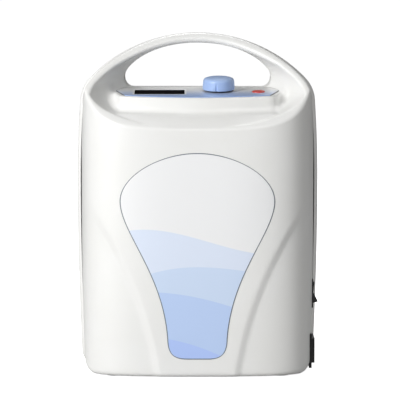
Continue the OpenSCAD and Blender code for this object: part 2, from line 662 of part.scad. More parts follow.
module supply_board() color("seagreen") difference() {
    box(supply_x, supply_x + supply_w, supply_y - board_t, supply_y, supply_z, supply_z + supply_h);
    for (p = supply_holes) translate([p[0], 0, p[1]])
        rod_y(small_screw_d / 2 + 0.2, supply_y - 3, supply_y + 1);
}
module supply_board_screws() color("silver") for (p = supply_holes) translate([p[0], 0, p[1]]) {
    rod_y(small_screw_d / 2, supply_y - board_t, supply_y + 4);
    rod_y(small_screw_d, supply_y - board_t - 1.6, supply_y - board_t);
}
module transformer() color("goldenrod")
    translate([supply_x + supply_w / 2, supply_y - board_t, supply_z + winding_h]) {
        box(-winding_w / 2, winding_w / 2, -winding_y1, -winding_y0, -winding_h / 2, winding_h / 2);
        box(-laminate_w / 2, laminate_w / 2, -laminate_d, 0, -laminate_h / 2, laminate_h / 2);
    }
module supply_capacitor() color("midnightblue")
    translate([supply_x + 2 * capacitor_r, 0, supply_z + supply_h - 12])
        rod_y(capacitor_r, supply_y - board_t - capacitor_l, supply_y - board_t);

// ---- air pump: an electromagnet swings a magnet bar between two diaphragms ----
module pump(x, y, z) translate([pump_x + x, y, pump_z + z]) children();
half_gap = diaphragm_gap / 2;
module pump_frame() color("silver") difference() {
    union() {
        pump(0, 0, 0) along_y(round_rect(plate_w, plate_h, 5), plate_y, plate_y + plate_t);
        // Two upright lugs that carry the core
        for (s = [-1, 1]) pump(s * (core_half + 1), 0, 0)
            box(-1, 1, plate_y - 14, plate_y + 1, -stack_half, stack_half);
    }
    for (p = pump_holes) translate([p[0], 0, p[1]]) rod_y(grommet_r - 2, plate_y - 1, plate_y + plate_t + 1);
}
module pump_head(s) pump(0, pump_y, 0) mirror([s > 0 ? 0 : 1, 0, 0]) difference() {
    union() {
        rod_x(head_d / 2, half_gap + diaphragm_t, half_gap + diaphragm_t + head_l);
        rod_x(head_d / 2, half_gap - 4, half_gap);
        box(half_gap - 4, half_gap + diaphragm_t + head_l - 3, 12, plate_y - pump_y, -9, 9);
        translate([half_gap + diaphragm_t + head_l / 2, 0, 0])
            cylinder(r = tube_bore / 2 - 0.05, h = head_d / 2 + 6);
    }
    rod_x(head_d / 2 - 5, half_gap - 5, half_gap + diaphragm_t + armature_travel + 5);
    box(half_gap, half_gap + diaphragm_t, -far, 12, -far, far);
    rod_x(head_d / 2 - 1.9, half_gap - 0.05, half_gap + diaphragm_t + 0.05);
    translate([half_gap + diaphragm_t + head_l / 2, 0, 0]) cylinder(r = 1.2, h = far);
}
module pump_head_left() color("lightslategrey") pump_head(-1);
module pump_head_right() color("lightslategrey") pump_head(1);
module diaphragms() color("dimgrey") for (s = [0, 1]) pump(0, pump_y, 0) mirror([s, 0, 0]) difference() {
    rod_x(head_d / 2 - 2, half_gap, half_gap + diaphragm_t);
    rod_x(stud_d / 2 + fit, half_gap - 1, half_gap + diaphragm_t + 1);
}
leg_l = 16;                          // E-shaped core: its legs, their width and its stack
leg_w = 6;
core_half = 24;
stack_half = 9;
coil_w = 26;
coil_h = 38;
bar_front = 7;                       // armature's magnet bar, in front of its studs
air_gap = 1.5;                       // between the bar and the core's legs
core_y = plate_y - leg_l;            // faces of the core's legs
module field_core() color("grey") pump(0, 0, 0) {
    box(gap - core_half, core_half - gap, plate_y - leg_w, plate_y, -stack_half, stack_half);
    for (s = [-1, 0, 1]) translate([s * (core_half - gap - leg_w / 2), 0, 0])
        box(-leg_w / 2, leg_w / 2, core_y, plate_y - leg_w + 1, -stack_half, stack_half);
}
module field_coil() color("peru") pump(0, 0, 0) difference() {
    along_y(round_rect(coil_w, coil_h, 5), core_y + 1, plate_y - leg_w);
    box(-leg_w / 2 - 0.2, leg_w / 2 + 0.2, -far, far, -stack_half - 0.2, stack_half + 0.2);
}
module armature() color("darkgrey") pump(0, pump_y, 0) {
    rod_x(stud_d / 2, -half_gap - diaphragm_t - 3, half_gap + diaphragm_t + 3);
    box(-core_half, core_half, -bar_front, core_y - pump_y - air_gap, 1 - stack_half, stack_half - 1);
}
module pump_mounts() color("dimgrey") for (p = pump_holes) translate([p[0], 0, p[1]]) difference() {
    union() {
        rod_y(grommet_r, plate_y - grommet_t, plate_y);
        rod_y(grommet_r - 2 - fit, plate_y - 1, plate_y + plate_t + 1);
        rod_y(grommet_r, plate_y + plate_t, plate_y + plate_t + grommet_foot);
    }
    rod_y(small_screw_d / 2 + 0.1, plate_y - grommet_t - 1, plate_y + plate_t + grommet_foot + 1);
}
module pump_screws() color("silver") for (p = pump_holes) translate([p[0], 0, p[1]]) {
    rod_y(small_screw_d / 2, plate_y - grommet_t, plate_y + plate_t + pump_screw_l);
    rod_y(pump_head_r, plate_y - grommet_t - pump_head_t, plate_y - grommet_t);
}

// ---- distributor: a motor turns a rotor that sends the air to each outlet in turn ----
motor_seat = 2;                      // height of the motor's seat on the back wall
motor_y = inner_back - motor_seat - motor_l;
valve_l = 18;
valve_y = motor_y - valve_l;
port_y = valve_y + 8;
module valve(z = 0) translate([valve_x, 0, valve_z + z]) children();
module port(x, up) translate([x, port_y, 0]) mirror([0, 0, up ? 0 : 1])
    cylinder(r = tube_bore / 2 - 0.05, h = valve_d / 2 + 6);
port_x = [-14, 14];
module distributor_body() color("ivory") valve() difference() {
    union() {
        rod_y(valve_d / 2, valve_y, motor_y);
        for (x = [-outlet_gap / 2, outlet_gap / 2]) port(x, true);
        for (x = port_x) port(x, false);
    }
    rod_y(rotor_d / 2 + fit, valve_y + 4, motor_y + 1);
    for (x = [-outlet_gap / 2, outlet_gap / 2]) translate([x, port_y, 0]) cylinder(r = 1.2, h = far);
    for (x = port_x) translate([x, port_y, -far]) cylinder(r = 1.2, h = far);
}
module distributor_rotor() color("white") valve() difference() {
    union() {
        rod_y(rotor_d / 2, valve_y + 4 + gap, valve_y + 14);
        rod_y(2.5, valve_y + 10, motor_y + 6);
    }
    rod_y(rotor_d / 2 - 4, valve_y, valve_y + 9);
    box(-3, 3, valve_y, valve_y + 12, 0, rotor_d);
}
module distributor_motor() color("silver") valve() difference() {
    rod_y(motor_r, motor_y, inner_back - motor_seat);
    rod_y(2.5 + fit, motor_y - 1, motor_y + 6.5);
    rod_y(7, motor_y - 1, motor_y + 1);
}

// ---- air tubes: straight runs with rounded corners ----
module tube_run(p, r) for (k = [0:len(p) - 2]) {
    d = p[k + 1] - p[k];
    translate(p[k]) rotate([0, acos(d[2] / norm(d)), atan2(d[1], d[0])]) cylinder(r = r, h = norm(d));
    if (k > 0) translate(p[k]) sphere(r = r + 0.02);
}
function lengthened(p) = concat([p[0] - (p[1] - p[0]) / norm(p[1] - p[0])],
    [for (k = [1:len(p) - 2]) p[k]],
    [p[len(p) - 1] + (p[len(p) - 1] - p[len(p) - 2]) / norm(p[len(p) - 1] - p[len(p) - 2])]);
module air_tube(p) color("whitesmoke") difference() {
    tube_run(p, tube_d / 2);
    tube_run(lengthened(p), tube_bore / 2);
}
function head_port(s) =
    [pump_x + s * (half_gap + diaphragm_t + head_l / 2), pump_y, pump_z + head_d / 2 + 0.5];
function supply_route(s) = let (a = head_port(s),
    b = [valve_x + port_x[s > 0 ? 1 : 0], port_y, valve_z - valve_d / 2 - 1],
    m = (a[2] + b[2]) / 2 + s * 0.14 * (b[2] - a[2])) [a, [a[0], a[1], m], [b[0], b[1], m], b];
module supply_tube_left() air_tube(supply_route(-1));
module supply_tube_right() air_tube(supply_route(1));
function outlet_route(k) = let (x = outlet_x[k], z0 = valve_z + valve_d / 2 + 0.5)
    [[x, port_y, z0], [x, port_y, outlet_z], [x, outlet_end - gap, outlet_z]];
module outlet_tube_left() air_tube(outlet_route(0));
module outlet_tube_right() air_tube(outlet_route(1));
module air_outlets() color("lightgrey") for (x = outlet_x) translate([x, 0, outlet_z]) difference() {
    union() {
        rod_y(outlet_bore / 2 + 4, outlet_seat, outlet_seat + 1);
        rod_y(outlet_bore / 2 + 1.5, outlet_end, outlet_seat + 0.5);
        rod_y(tube_bore / 2 - 0.05, outlet_end - 8, outlet_end + 1);
    }
    rod_y(outlet_bore / 2, outlet_end + 1.5, rear_y);
    rod_y(1.2, outlet_end - 9, rear_y);
}

module case_screws() color("silver") for (p = case_screw_at) translate([p[0], 0, p[1]]) {
    rod_y(screw_d / 2, parting_y - screw_reach, head_seat + 1);
    difference() {
        rod_y(screw_head_d / 2, head_seat, head_seat + screw_head_h);
        for (a = [0, 90]) rotate([0, a, 0])
            box(-screw_slot[0] / 2, screw_slot[0] / 2, head_seat + screw_head_h - screw_slot[2], rear_y,
                -screw_slot[1] / 2, screw_slot[1] / 2);
    }
}
module rubber_feet() color("dimgrey") for (p = feet_at) translate([p[0], p[1], 0])
    rotate_extrude() polygon([[0, 0], [foot_d / 2 - 1, 0], [foot_d / 2, 0.8],
        [foot_d / 2, foot_h + foot_recess], [0, foot_h + foot_recess]]);

front_shell();
rear_shell();
front_label();
membrane_panel();
display_window();
display_module();
control_board();
control_board_screws();
knob();
control_shaft();
control_body();
start_button();
start_switch();
pressure_sensor();
rocker_housing();
rocker();
rocker_terminals();
power_inlet();
inlet_pins();
supply_board();
supply_board_screws();
transformer();
supply_capacitor();
pump_frame();
pump_head_left();
pump_head_right();
diaphragms();
field_core();
field_coil();
armature();
pump_mounts();
pump_screws();
distributor_body();
distributor_rotor();
distributor_motor();
supply_tube_left();
supply_tube_right();
outlet_tube_left();
outlet_tube_right();
air_outlets();
case_screws();
rubber_feet();
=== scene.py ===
# %% [markdown]
# # A compression therapy pump, dressed around its CAD frame
# The pump is a white moulded box with a carrying arch. A console with a display, a knob and a
# start button sits in a scoop under the arch, and a goblet-shaped label covers the front.
# The CAD frame fixes every size. This script gives the pieces their soft moulded forms and
# their finishes. It works in millimetres while it makes a shape, and in metres once it is made.

# %% Load the frame
import json
import math
import bmesh
import bpy
import numpy as np
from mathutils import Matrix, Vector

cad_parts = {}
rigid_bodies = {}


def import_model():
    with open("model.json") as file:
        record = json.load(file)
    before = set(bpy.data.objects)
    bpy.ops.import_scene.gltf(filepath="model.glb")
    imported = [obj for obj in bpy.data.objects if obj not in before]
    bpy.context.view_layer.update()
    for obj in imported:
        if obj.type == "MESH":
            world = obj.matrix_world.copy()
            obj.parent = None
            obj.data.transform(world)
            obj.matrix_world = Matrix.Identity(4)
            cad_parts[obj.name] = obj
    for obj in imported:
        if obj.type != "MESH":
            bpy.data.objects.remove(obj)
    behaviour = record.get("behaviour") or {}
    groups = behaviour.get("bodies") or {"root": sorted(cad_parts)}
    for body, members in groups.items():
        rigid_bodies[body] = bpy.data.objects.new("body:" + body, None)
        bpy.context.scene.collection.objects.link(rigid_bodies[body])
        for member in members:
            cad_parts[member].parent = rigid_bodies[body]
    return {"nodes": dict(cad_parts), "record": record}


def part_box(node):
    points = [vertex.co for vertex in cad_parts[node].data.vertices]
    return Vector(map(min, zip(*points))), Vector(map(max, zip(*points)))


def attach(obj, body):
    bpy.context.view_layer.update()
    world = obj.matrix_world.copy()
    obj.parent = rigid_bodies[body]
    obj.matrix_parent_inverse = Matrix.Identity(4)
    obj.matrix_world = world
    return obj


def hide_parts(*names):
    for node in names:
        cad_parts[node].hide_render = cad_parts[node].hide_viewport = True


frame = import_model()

import openvdb
from mathutils import Vector

MM = 0.001
nodes = frame["nodes"]
for obj in list(bpy.context.scene.objects):
    if obj.type in {"MESH", "LIGHT", "CAMERA"} and obj.name not in nodes:
        bpy.data.objects.remove(obj)
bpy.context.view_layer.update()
body_of_node = {n: b for b, ns in frame["record"]["behaviour"]["bodies"].items() for n in ns}

# %% [markdown]
# ## Sizes of the case
# The two shells follow the same rules as the CAD source: an outline seen from the front, a
# superellipse seen from above, and a sloping plane that cuts the hood. Repeating the rules here,
# not the points, lets every edge get the radius that a real moulding has.

# %% Case sizes, in millimetres
CASE_H, CASE_W, CASE_D = 247.0, 178.0, 112.0
WALL, REAR_D, SIDE_STEP = 2.5, 44.0, 4.0
FOOT_IN, SHOULDER_IN, WAIST_Z = 3.6, 2.0, 139.0
CORNER_R, FRONT_POWER, REAR_POWER = 9.0, 4.0, 5.0
ARCH_R, SHOULDER_R, BAR_T = 112.5, 25.6, 6.6
LIP_H, HOOD_ANGLE, LEAN_Z, LEAN_ANGLE = 180.0, math.radians(46), 189.0, math.radians(20)
RIM_HALF, RIM_Z, RIM_TOP = CASE_W / 2 - 9.5, 207.0, CASE_H - BAR_T
GAP_HALF, GAP_TOP, DECK_Z, FOOT_H = 54.2, CASE_H - BAR_T - 0.5, 206.5, 1.2
FRONT_Y, REAR_Y = -CASE_D / 2, CASE_D / 2
PARTING_Y = REAR_Y - REAR_D
BOWL_Y = PARTING_Y - 2        # where the bowl turns into the straight hand gap
EYE_Z = 205.0                 # height about which the rim and the gap are measured
THIN_STRIP = 4.4              # least width left between the rim and the outline
NARROW = 1 - 2 * SIDE_STEP / CASE_W   # the front half against the rear
PANEL_Y, PANEL_Z, PANEL_TILT, PANEL_L = -34.5, 202.0, math.radians(7.5), 43.5
PANEL_FRONT, PANEL_TIPS, PANEL_BOW, PANEL_MARGIN, MEMBRANE_T = 53.6, 61.0, 7.5, 2.6, 0.4
ARCH_Z = CASE_H - ARCH_R
SHOULDER_X = CASE_W / 2 - SHOULDER_IN - SHOULDER_R
SHOULDER_Z = ARCH_Z + math.sqrt((ARCH_R - SHOULDER_R) ** 2 - SHOULDER_X ** 2)
SHOULDER_A = math.atan2(SHOULDER_Z - ARCH_Z, SHOULDER_X)
print("shoulder at", round(SHOULDER_X, 1), round(SHOULDER_Z, 1))


def half_width(z):
    """Half the case's width at height z."""
    up = SHOULDER_IN * ((z - WAIST_Z) / (SHOULDER_Z - WAIST_Z)) ** 2
    down = FOOT_IN * ((WAIST_Z - z) / WAIST_Z) ** 2
    return CASE_W / 2 - np.where(z > WAIST_Z, up, down)


def bezier(a, b, c, d, n=40):
    """Points of one cubic curve."""
    t = np.linspace(0, 1, n)[:, None]
    a, b, c, d = (np.array(p, float) for p in (a, b, c, d))
    return (1 - t) ** 3 * a + 3 * (1 - t) ** 2 * t * b + 3 * (1 - t) * t * t * c + t ** 3 * d


def ease(t):
    """0 below 0, 1 above 1, and smooth between."""
    t = np.clip(t, 0, 1)
    return t * t * (3 - 2 * t)

# %% [markdown]
# ## Solids as distance rules
# A real moulding has a radius on every edge, and a scoop, an arch and a console that melt into
# each other can't be bevelled well by hand. Here each face is a rule that gives the distance to
# it, and the rules are joined or trimmed with a radius, so that every edge is a true fillet.
# A grid of the rule is turned into quads by OpenVDB, and then each point is moved along the
# rule's slope until it lies exactly on the surface, which keeps reflections smooth.

# %% Distance rules
def distance(rule, p, h=0.15):
    """Turns any smooth rule into rows of distance and unit slope at points p (3, N)."""
    slope = []
    for axis in range(3):
        step = np.zeros((3, 1))
        step[axis] = h
        slope.append((rule(*(p + step)) - rule(*(p - step))) / (2 * h))
    slope = np.array(slope)
    size = np.maximum(np.linalg.norm(slope, axis=0), 1e-6)
    return np.vstack([rule(*p) / size, slope / size])


def plane(p, normal, offset):
    """Distance in front of a flat face."""
    n = np.array(normal, float) / np.linalg.norm(normal)
    row = n @ p - offset
    return np.vstack([row, np.repeat(n[:, None], p.shape[1], 1)])


def trim(a, b, r):
    """What lies inside both, with the edge between them rounded to radius r."""
    u, v = a[0] + r, b[0] + r
    c = np.clip((a[1:] * b[1:]).sum(0), -0.95, 0.9995)
    on_edge = (u > v * c) & (v > u * c)
    s = 1 - c * c
    d = np.sqrt(np.maximum(u * u + v * v - 2 * u * v * c, 1e-12) / s)
    out = np.where(a[0] > b[0], a, b)
    mixed = ((u - v * c) * a + (v - u * c) * b) / (d * s)
    mixed[0] = d - r
    return np.where(on_edge, mixed, out)


def join(a, b, r):
    """Both together, with the corner between them filled to radius r."""
    return -trim(-a, -b, r)


def mesh_of(field, xs, ys, zs, rounds=4):
    """Quads of the surface where field is zero, each point moved exactly onto it."""
    grid = np.stack(np.meshgrid(xs, ys, zs, indexing="ij"), 0).reshape(3, -1)
    values = np.concatenate([field(part)[0] for part in np.array_split(grid, 12, axis=1)])
    volume = openvdb.FloatGrid(20.0)
    volume.copyFromArray(values.reshape(len(xs), len(ys), len(zs)).astype(np.float32))
    points, quads = volume.convertToQuads(0.0)
    p = np.array([np.interp(points[:, i], np.arange(len(axis)), axis)
                  for i, axis in enumerate((xs, ys, zs))])
    for _ in range(rounds):
        d = field(p)
        p -= np.clip(d[0], -1.5, 1.5) * d[1:]
    return p.T, quads


def new_object(name, points, faces, smooth=True):
    """A mesh object from points in millimetres."""
    mesh = bpy.data.meshes.new(name)
    mesh.from_pydata((np.asarray(points, float) * MM).tolist(), [], [list(map(int, f)) for f in faces])
    mesh.polygons.foreach_set("use_smooth", [smooth] * len(mesh.polygons))
    mesh.update()
    obj = bpy.data.objects.new(name, mesh)
    bpy.context.scene.collection.objects.link(obj)
    return obj


print("ease at 0, a half and 1:", [round(float(ease(v)), 2) for v in (0, 0.5, 1)])

# %% [markdown]
# ## The faces of the case
# Each rule below is one face of the pump: the outline with its arch, the rounded front and back
# seen from above, the hood's sloping cut, the lean of the back, and the scoop with its floor.

# %% Outline and plan
def outline_rule(x, z, step=0.0):
    """Outside of the front outline, narrower by a step that fades towards the arch."""
    x = np.abs(x) / (1 - 2 * step / CASE_W * (1 - 0.6 * ease((z - SHOULDER_Z + 6) / 36)))
    side, bottom = x - half_width(np.minimum(z, SHOULDER_Z)), FOOT_H - z
    corner = np.hypot(np.maximum(side + CORNER_R, 0), np.maximum(bottom + CORNER_R, 0)) - CORNER_R
    low = np.where((side > -CORNER_R) & (bottom > -CORNER_R), corner, np.maximum(side, bottom))
    shoulder = np.hypot(x - SHOULDER_X, z - SHOULDER_Z) - SHOULDER_R
    arch = np.hypot(x, z - ARCH_Z) - ARCH_R
    turn = np.arctan2(z - ARCH_Z, x)
    top = np.where(turn > SHOULDER_A, arch, shoulder)
    return np.where(z > SHOULDER_Z, top, np.where(turn > SHOULDER_A, np.maximum(low, arch), low))


def plan_rule(x, depth, half, length, power):
    """Outside of a superellipse seen from above."""
    u, v = np.abs(x) / half, np.maximum(depth, 0) / length
    return (u ** power + v ** power + 1e-12) ** (1 / power) - 1


print("half width at the waist and the foot:", half_width(WAIST_Z), half_width(FOOT_H).round(1))

# %% Rim and hand gap
def polar_table(points):
    """Radius of an outline round (0, EYE_Z), against the angle."""
    q = points - np.array([0, EYE_Z])
    angle, radius = np.arctan2(q[:, 1], q[:, 0]), np.hypot(q[:, 0], q[:, 1])
    order = np.argsort(angle)
    return angle[order], radius[order]


rim_curve = np.vstack([
    bezier([0.01, LIP_H], [RIM_HALF * 0.555, LIP_H], [RIM_HALF * 0.97, RIM_Z - 14], [RIM_HALF, RIM_Z]),
    bezier([RIM_HALF, RIM_Z], [RIM_HALF, RIM_Z + 9], [RIM_HALF * 0.46, RIM_TOP], [0.01, RIM_TOP])[1:]])
gap_curve = np.vstack([
    [[0.01, DECK_Z - 16], [GAP_HALF - 8, DECK_Z - 16], [GAP_HALF - 1, DECK_Z]],
    bezier([GAP_HALF, DECK_Z + 8], [GAP_HALF, DECK_Z + 15], [GAP_HALF * 0.68, GAP_TOP],
           [0.01, GAP_TOP])])
rim_table, gap_table = polar_table(rim_curve), polar_table(gap_curve)
rim_angle, rim_radius = rim_table
strip = -outline_rule(rim_radius * np.cos(rim_angle), EYE_Z + rim_radius * np.sin(rim_angle), SIDE_STEP)
print("strip outside the rim at its thinnest:", strip.min().round(2))
rim_table = (rim_angle, rim_radius - np.maximum(THIN_STRIP - strip, 0))
strip_table = (rim_angle, np.maximum(strip, THIN_STRIP))


def strip_radius(p, share, most):
    """A radius that fits the strip between the rim and the outline, at most a given one."""
    return np.clip(share * np.interp(np.arctan2(p[2] - EYE_Z, np.abs(p[0])), *strip_table), 0.8, most)

# %% Scoop
def scoop_wall_rule(x, y, z):
    """Outside of the scoop's wall, which runs from the hood's rim back to the hand gap."""
    x = np.abs(x)
    hood_y = FRONT_Y + (z - LIP_H) / math.tan(HOOD_ANGLE)
    t = np.clip((y - hood_y) / np.maximum(BOWL_Y - hood_y, 1), 0, 1)
    angle, radius = np.arctan2(z - EYE_Z, x), np.hypot(x, z - EYE_Z)
    rim, gap = np.interp(angle, *rim_table), np.interp(angle, *gap_table)
    middle, calm = 40.0, 16.0       # near the middle the angle jumps, so the radius is held there
    return radius - middle - (rim + (gap - rim) * t - middle) * ease(radius / calm)


floor_y = np.arange(-90.0, 90.0, 0.5)
floor_z = np.interp(floor_y, [-90, FRONT_Y, FRONT_Y + 15, FRONT_Y + 46, PARTING_Y, 90],
                    [LIP_H - 20, LIP_H, LIP_H + 10, LIP_H + 14, DECK_Z, DECK_Z])
blur = np.exp(-(np.arange(-8, 8.1, 0.5) / 3.0) ** 2)
floor_z = np.convolve(np.pad(floor_z, 16, mode="edge"), blur / blur.sum(), "valid")


def floor_rule(x, y, z):
    """Below the scoop's floor."""
    return np.interp(y, floor_y, floor_z) - z


print("floor height at the lip, the island and the deck:", floor_z[[68, 160, 300]].round(1))

# %% Console island
def console_outline(grow):
    """Outline of the console's top in its own plane, corners rounded."""
    front, tips = PANEL_FRONT + grow, PANEL_TIPS + grow
    half = [[front * k, PANEL_BOW * k * k - grow] for k in np.linspace(0, 0.93, 9)]
    corners = [([front, PANEL_BOW - grow * 0.7], 5), ([tips, PANEL_L - 13.5], 7),
               ([PANEL_FRONT - 3 + grow, PANEL_L + grow * 0.9], 5)]
    spine = [half[-1]] + [c for c, _ in corners] + [[0, PANEL_L + grow * 0.9]]
    for k, (corner, r) in enumerate(corners, 1):
        before, at, after = (np.array(spine[k + j], float) for j in (-1, 0, 1))
        a = at + (before - at) * min(0.45, r / np.linalg.norm(before - at))
        b = at + (after - at) * min(0.45, r / np.linalg.norm(after - at))
        half += [((1 - t) ** 2 * a + 2 * t * (1 - t) * at + t * t * b).tolist()
                 for t in np.linspace(0, 1, 7)]
    return np.array(half + [[-x, y] for x, y in half[::-1] if x > 1e-6])


island = console_outline(PANEL_MARGIN)
island_n = np.roll(island, -1, 0) - island
island_n = np.stack([island_n[:, 1], -island_n[:, 0]], 1) / np.linalg.norm(island_n, axis=1)[:, None]


def to_panel(x, y, z):
    """A point in the console's own frame: across, back and up."""
    c, s = math.cos(PANEL_TILT), math.sin(PANEL_TILT)
    return x, (y - PANEL_Y) * c + (z - PANEL_Z) * s, (z - PANEL_Z) * c - (y - PANEL_Y) * s


def from_panel(p):
    """Points (N, 3) in the console's frame brought into the case's frame."""
    p, c, s = np.asarray(p, float), math.cos(PANEL_TILT), math.sin(PANEL_TILT)
    return np.stack([p[:, 0], PANEL_Y + p[:, 1] * c - p[:, 2] * s,
                     PANEL_Z + p[:, 1] * s + p[:, 2] * c], 1)


def island_rule(x, y, z):
    """Outside of the console's wall, which flares a little towards its foot."""
    across, back, up = to_panel(x, y, z)
    d = np.full(across.shape, -99.0)
    for corner, n in zip(island, island_n):
        d = np.maximum(d, (across - corner[0]) * n[0] + (back - corner[1]) * n[1])
    return d + 0.09 * up


goblet = bezier([27, -1], [36, 61.5], [62, 102.6], [80, 128.2])


def relief(x, z):
    """How far the lower corners stand back beside the raised goblet shape."""
    edge = np.interp(z, goblet[:, 1], goblet[:, 0])
    return 1.7 * ease((np.abs(x) - edge + 2) / 7) * ease((132 - z) / 34)


print("console outline:", len(island), "points,", round(2 * (PANEL_TIPS + PANEL_MARGIN), 1), "mm wide")

# %% The two solid halves
def with_scoop(solid, p, rim_r):
    """Takes the scoop out of a half; its rim's radius is under half the strip round it."""
    wall, floor = distance(scoop_wall_rule, p), distance(floor_rule, p)
    cut = -trim(wall, floor, 7.0)
    return trim(solid, cut, strip_radius(p, 0.42, rim_r))


def front_half(p, film=0.12):
    """The front half, which stands a film's thickness behind the CAD face under the label."""
    half, length = CASE_W / 2 * NARROW, PARTING_Y - FRONT_Y - film
    outline = distance(lambda x, y, z: outline_rule(x, z, SIDE_STEP), p)
    plan = distance(lambda x, y, z: plan_rule(
        x, PARTING_Y - y + relief(x, z), half, length, FRONT_POWER), p)
    hood = plane(p, (0, -math.sin(HOOD_ANGLE), math.cos(HOOD_ANGLE)),
                 LIP_H * math.cos(HOOD_ANGLE) - FRONT_Y * math.sin(HOOD_ANGLE))
    solid = trim(trim(outline, plan, 3.0), hood, strip_radius(p, 0.5, 3.6))
    solid = with_scoop(solid, p, 2.2 + 1.8 * ease((p[2] - 186) / 20))
    up = plane(p, (0, -math.sin(PANEL_TILT), math.cos(PANEL_TILT)),
               PANEL_Z * math.cos(PANEL_TILT) - PANEL_Y * math.sin(PANEL_TILT) - MEMBRANE_T)
    console = trim(distance(island_rule, p), up, 1.3)
    console = trim(console, plane(p, (0, 0, -1), -178), 1)
    return join(solid, console, 4.5)


def rear_half(p):
    """The rear half, with a rounded front edge that shows beside the narrower front."""
    outline = distance(lambda x, y, z: outline_rule(x, z), p)
    plan = distance(lambda x, y, z: plan_rule(
        x, y - PARTING_Y, CASE_W / 2, REAR_D, REAR_POWER), p)
    lean = plane(p, (0, math.cos(LEAN_ANGLE), math.sin(LEAN_ANGLE)),
                 REAR_Y * math.cos(LEAN_ANGLE) + LEAN_Z * math.sin(LEAN_ANGLE))
    solid = trim(trim(outline, plan, 4.0), lean, 6.0)
    front = plane(p, (0, -1, 0), -PARTING_Y)
    solid = trim(solid, front, 1.2 + 2.2 * (p[0] / (CASE_W / 2)) ** 2)
    return with_scoop(solid, p, 4.0)


def room(shape, p, ceiling, way):
    """The room inside a half: a wall's thickness in, below a ceiling, and open at the parting."""
    inner = shape
    inner[0] += WALL
    inner = trim(inner, plane(p, (0, 0, 1), ceiling), 2)
    return trim(inner, plane(p, (0, way, 0), way * PARTING_Y + 3), 0.5)


def rear_room(p):
    """The room in the rear half, which follows its outline and plan but not its lean."""
    outline = distance(lambda x, y, z: outline_rule(x, z), p)
    plan = distance(lambda x, y, z: plan_rule(
        x, y - PARTING_Y, CASE_W / 2, REAR_D, REAR_POWER), p)
    return room(with_scoop(trim(outline, plan, 4.0), p, 4.0), p, 198, -1)


probe = np.array([[0.0, FRONT_Y, 100.0], [0.0, FRONT_Y - 5, 100.0]]).T
print("distance from the front face, on it and 5 mm out:", front_half(probe)[0].round(2))

# %% [markdown]
# ## Cutting the shells
# Openings come last, as they do on a drawing: the hollow inside, the parting face, the pockets
# for the switch and the inlet, screw wells, vents and foot recesses. Blender's manifold boolean
# is fast and exact enough for these clean cutters.

# %% Mesh helpers
def edited(obj, *steps):
    """Runs bmesh steps on a piece's mesh, then turns its faces outwards."""
    work = bmesh.new()
    work.from_mesh(obj.data)
    for step in steps:
        step(work)
    bmesh.ops.recalc_face_normals(work, faces=work.faces)
    work.to_mesh(obj.data)
    work.free()
    return obj


def merge(work, dist=2e-6):
    """Merges doubled points."""
    bmesh.ops.remove_doubles(work, verts=work.verts, dist=dist)


def baked(obj):
    """Applies every modifier and leaves a plain mesh."""
    dg = bpy.context.evaluated_depsgraph_get()
    made = bpy.data.meshes.new_from_object(obj.evaluated_get(dg))
    obj.modifiers.clear()
    obj.data = made
    return obj


print("mesh helpers ready, Blender", bpy.app.version_string)

# %% Cutters
def prism(points, axis, lo, hi):
    """A straight-sided cutter: a polygon in the two other axes, from lo to hi along axis."""
    points = np.asarray(points, float)
    n = len(points)
    others = [i for i in range(3) if i != axis]
    v = np.zeros((2 * n, 3))
    for row, level in ((0, lo), (n, hi)):
        v[row:row + n, others[0]], v[row:row + n, others[1]] = points[:, 0], points[:, 1]
        v[row:row + n, axis] = level
    faces = [list(range(n)), list(range(2 * n - 1, n - 1, -1))]
    faces += [[i, n + i, n + (i + 1) % n, (i + 1) % n] for i in range(n)]
    return v, faces


def disc(x, y, r, n=40):
    """A round outline."""
    a = np.linspace(0, 2 * math.pi, n, endpoint=False)
    return np.stack([x + r * np.cos(a), y + r * np.sin(a)], 1)


def rounded(x, y, w, h, r, n=5):
    """A rectangle with round corners, centred on x and y."""
    out = []
    for k, (sx, sy) in enumerate(((1, 1), (-1, 1), (-1, -1), (1, -1))):
        a = np.linspace(0, math.pi / 2, n + 1) + k * math.pi / 2
        out.append(np.stack([x + sx * (w / 2 - r) + r * np.cos(a),
                             y + sy * (h / 2 - r) + r * np.sin(a)], 1))
    return np.vstack(out)


def solid_from(name, parts):
    """One object from several closed cutters."""
    points, faces = [], []
    for v, fs in parts:
        faces += [[i + len(points) for i in f] for f in fs]
        points += list(v)
    return edited(new_object(name, points, faces, smooth=False))


def carve(obj, cutters):
    """Subtracts the cutters and removes them."""
    for cutter in cutters:
        change = obj.modifiers.new("carve", "BOOLEAN")
        change.operation, change.object, change.solver = "DIFFERENCE", cutter, "MANIFOLD"
    baked(obj)
    for cutter in cutters:
        bpy.data.objects.remove(cutter)
    return obj


def smooth_mesh(obj, angle=32):
    """Smooth shading with real edges kept."""
    obj.data.polygons.foreach_set("use_smooth", [True] * len(obj.data.polygons))
    obj.data.set_sharp_from_angle(angle=math.radians(angle))
    return obj


def place(obj, body, *stands_for):
    """Lets a piece ride on a body and stand for CAD nodes, and prints its measures."""
    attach(obj, body)
    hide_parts(*stands_for)
    report(obj)
    return obj


def report(obj):
    """Prints a piece's triangles and box."""
    obj.data.calc_loop_triangles()
    co = np.array([v.co for v in obj.data.vertices]) / MM
    print(obj.name, len(obj.data.loop_triangles), "triangles", co.min(0).round(2), co.max(0).round(2))

# %% Front shell
def spaced(*stretches):
    """Grid planes at a different spacing in each stretch (start, end, step)."""
    return np.concatenate([np.arange(a, b, s) for a, b, s in stretches])


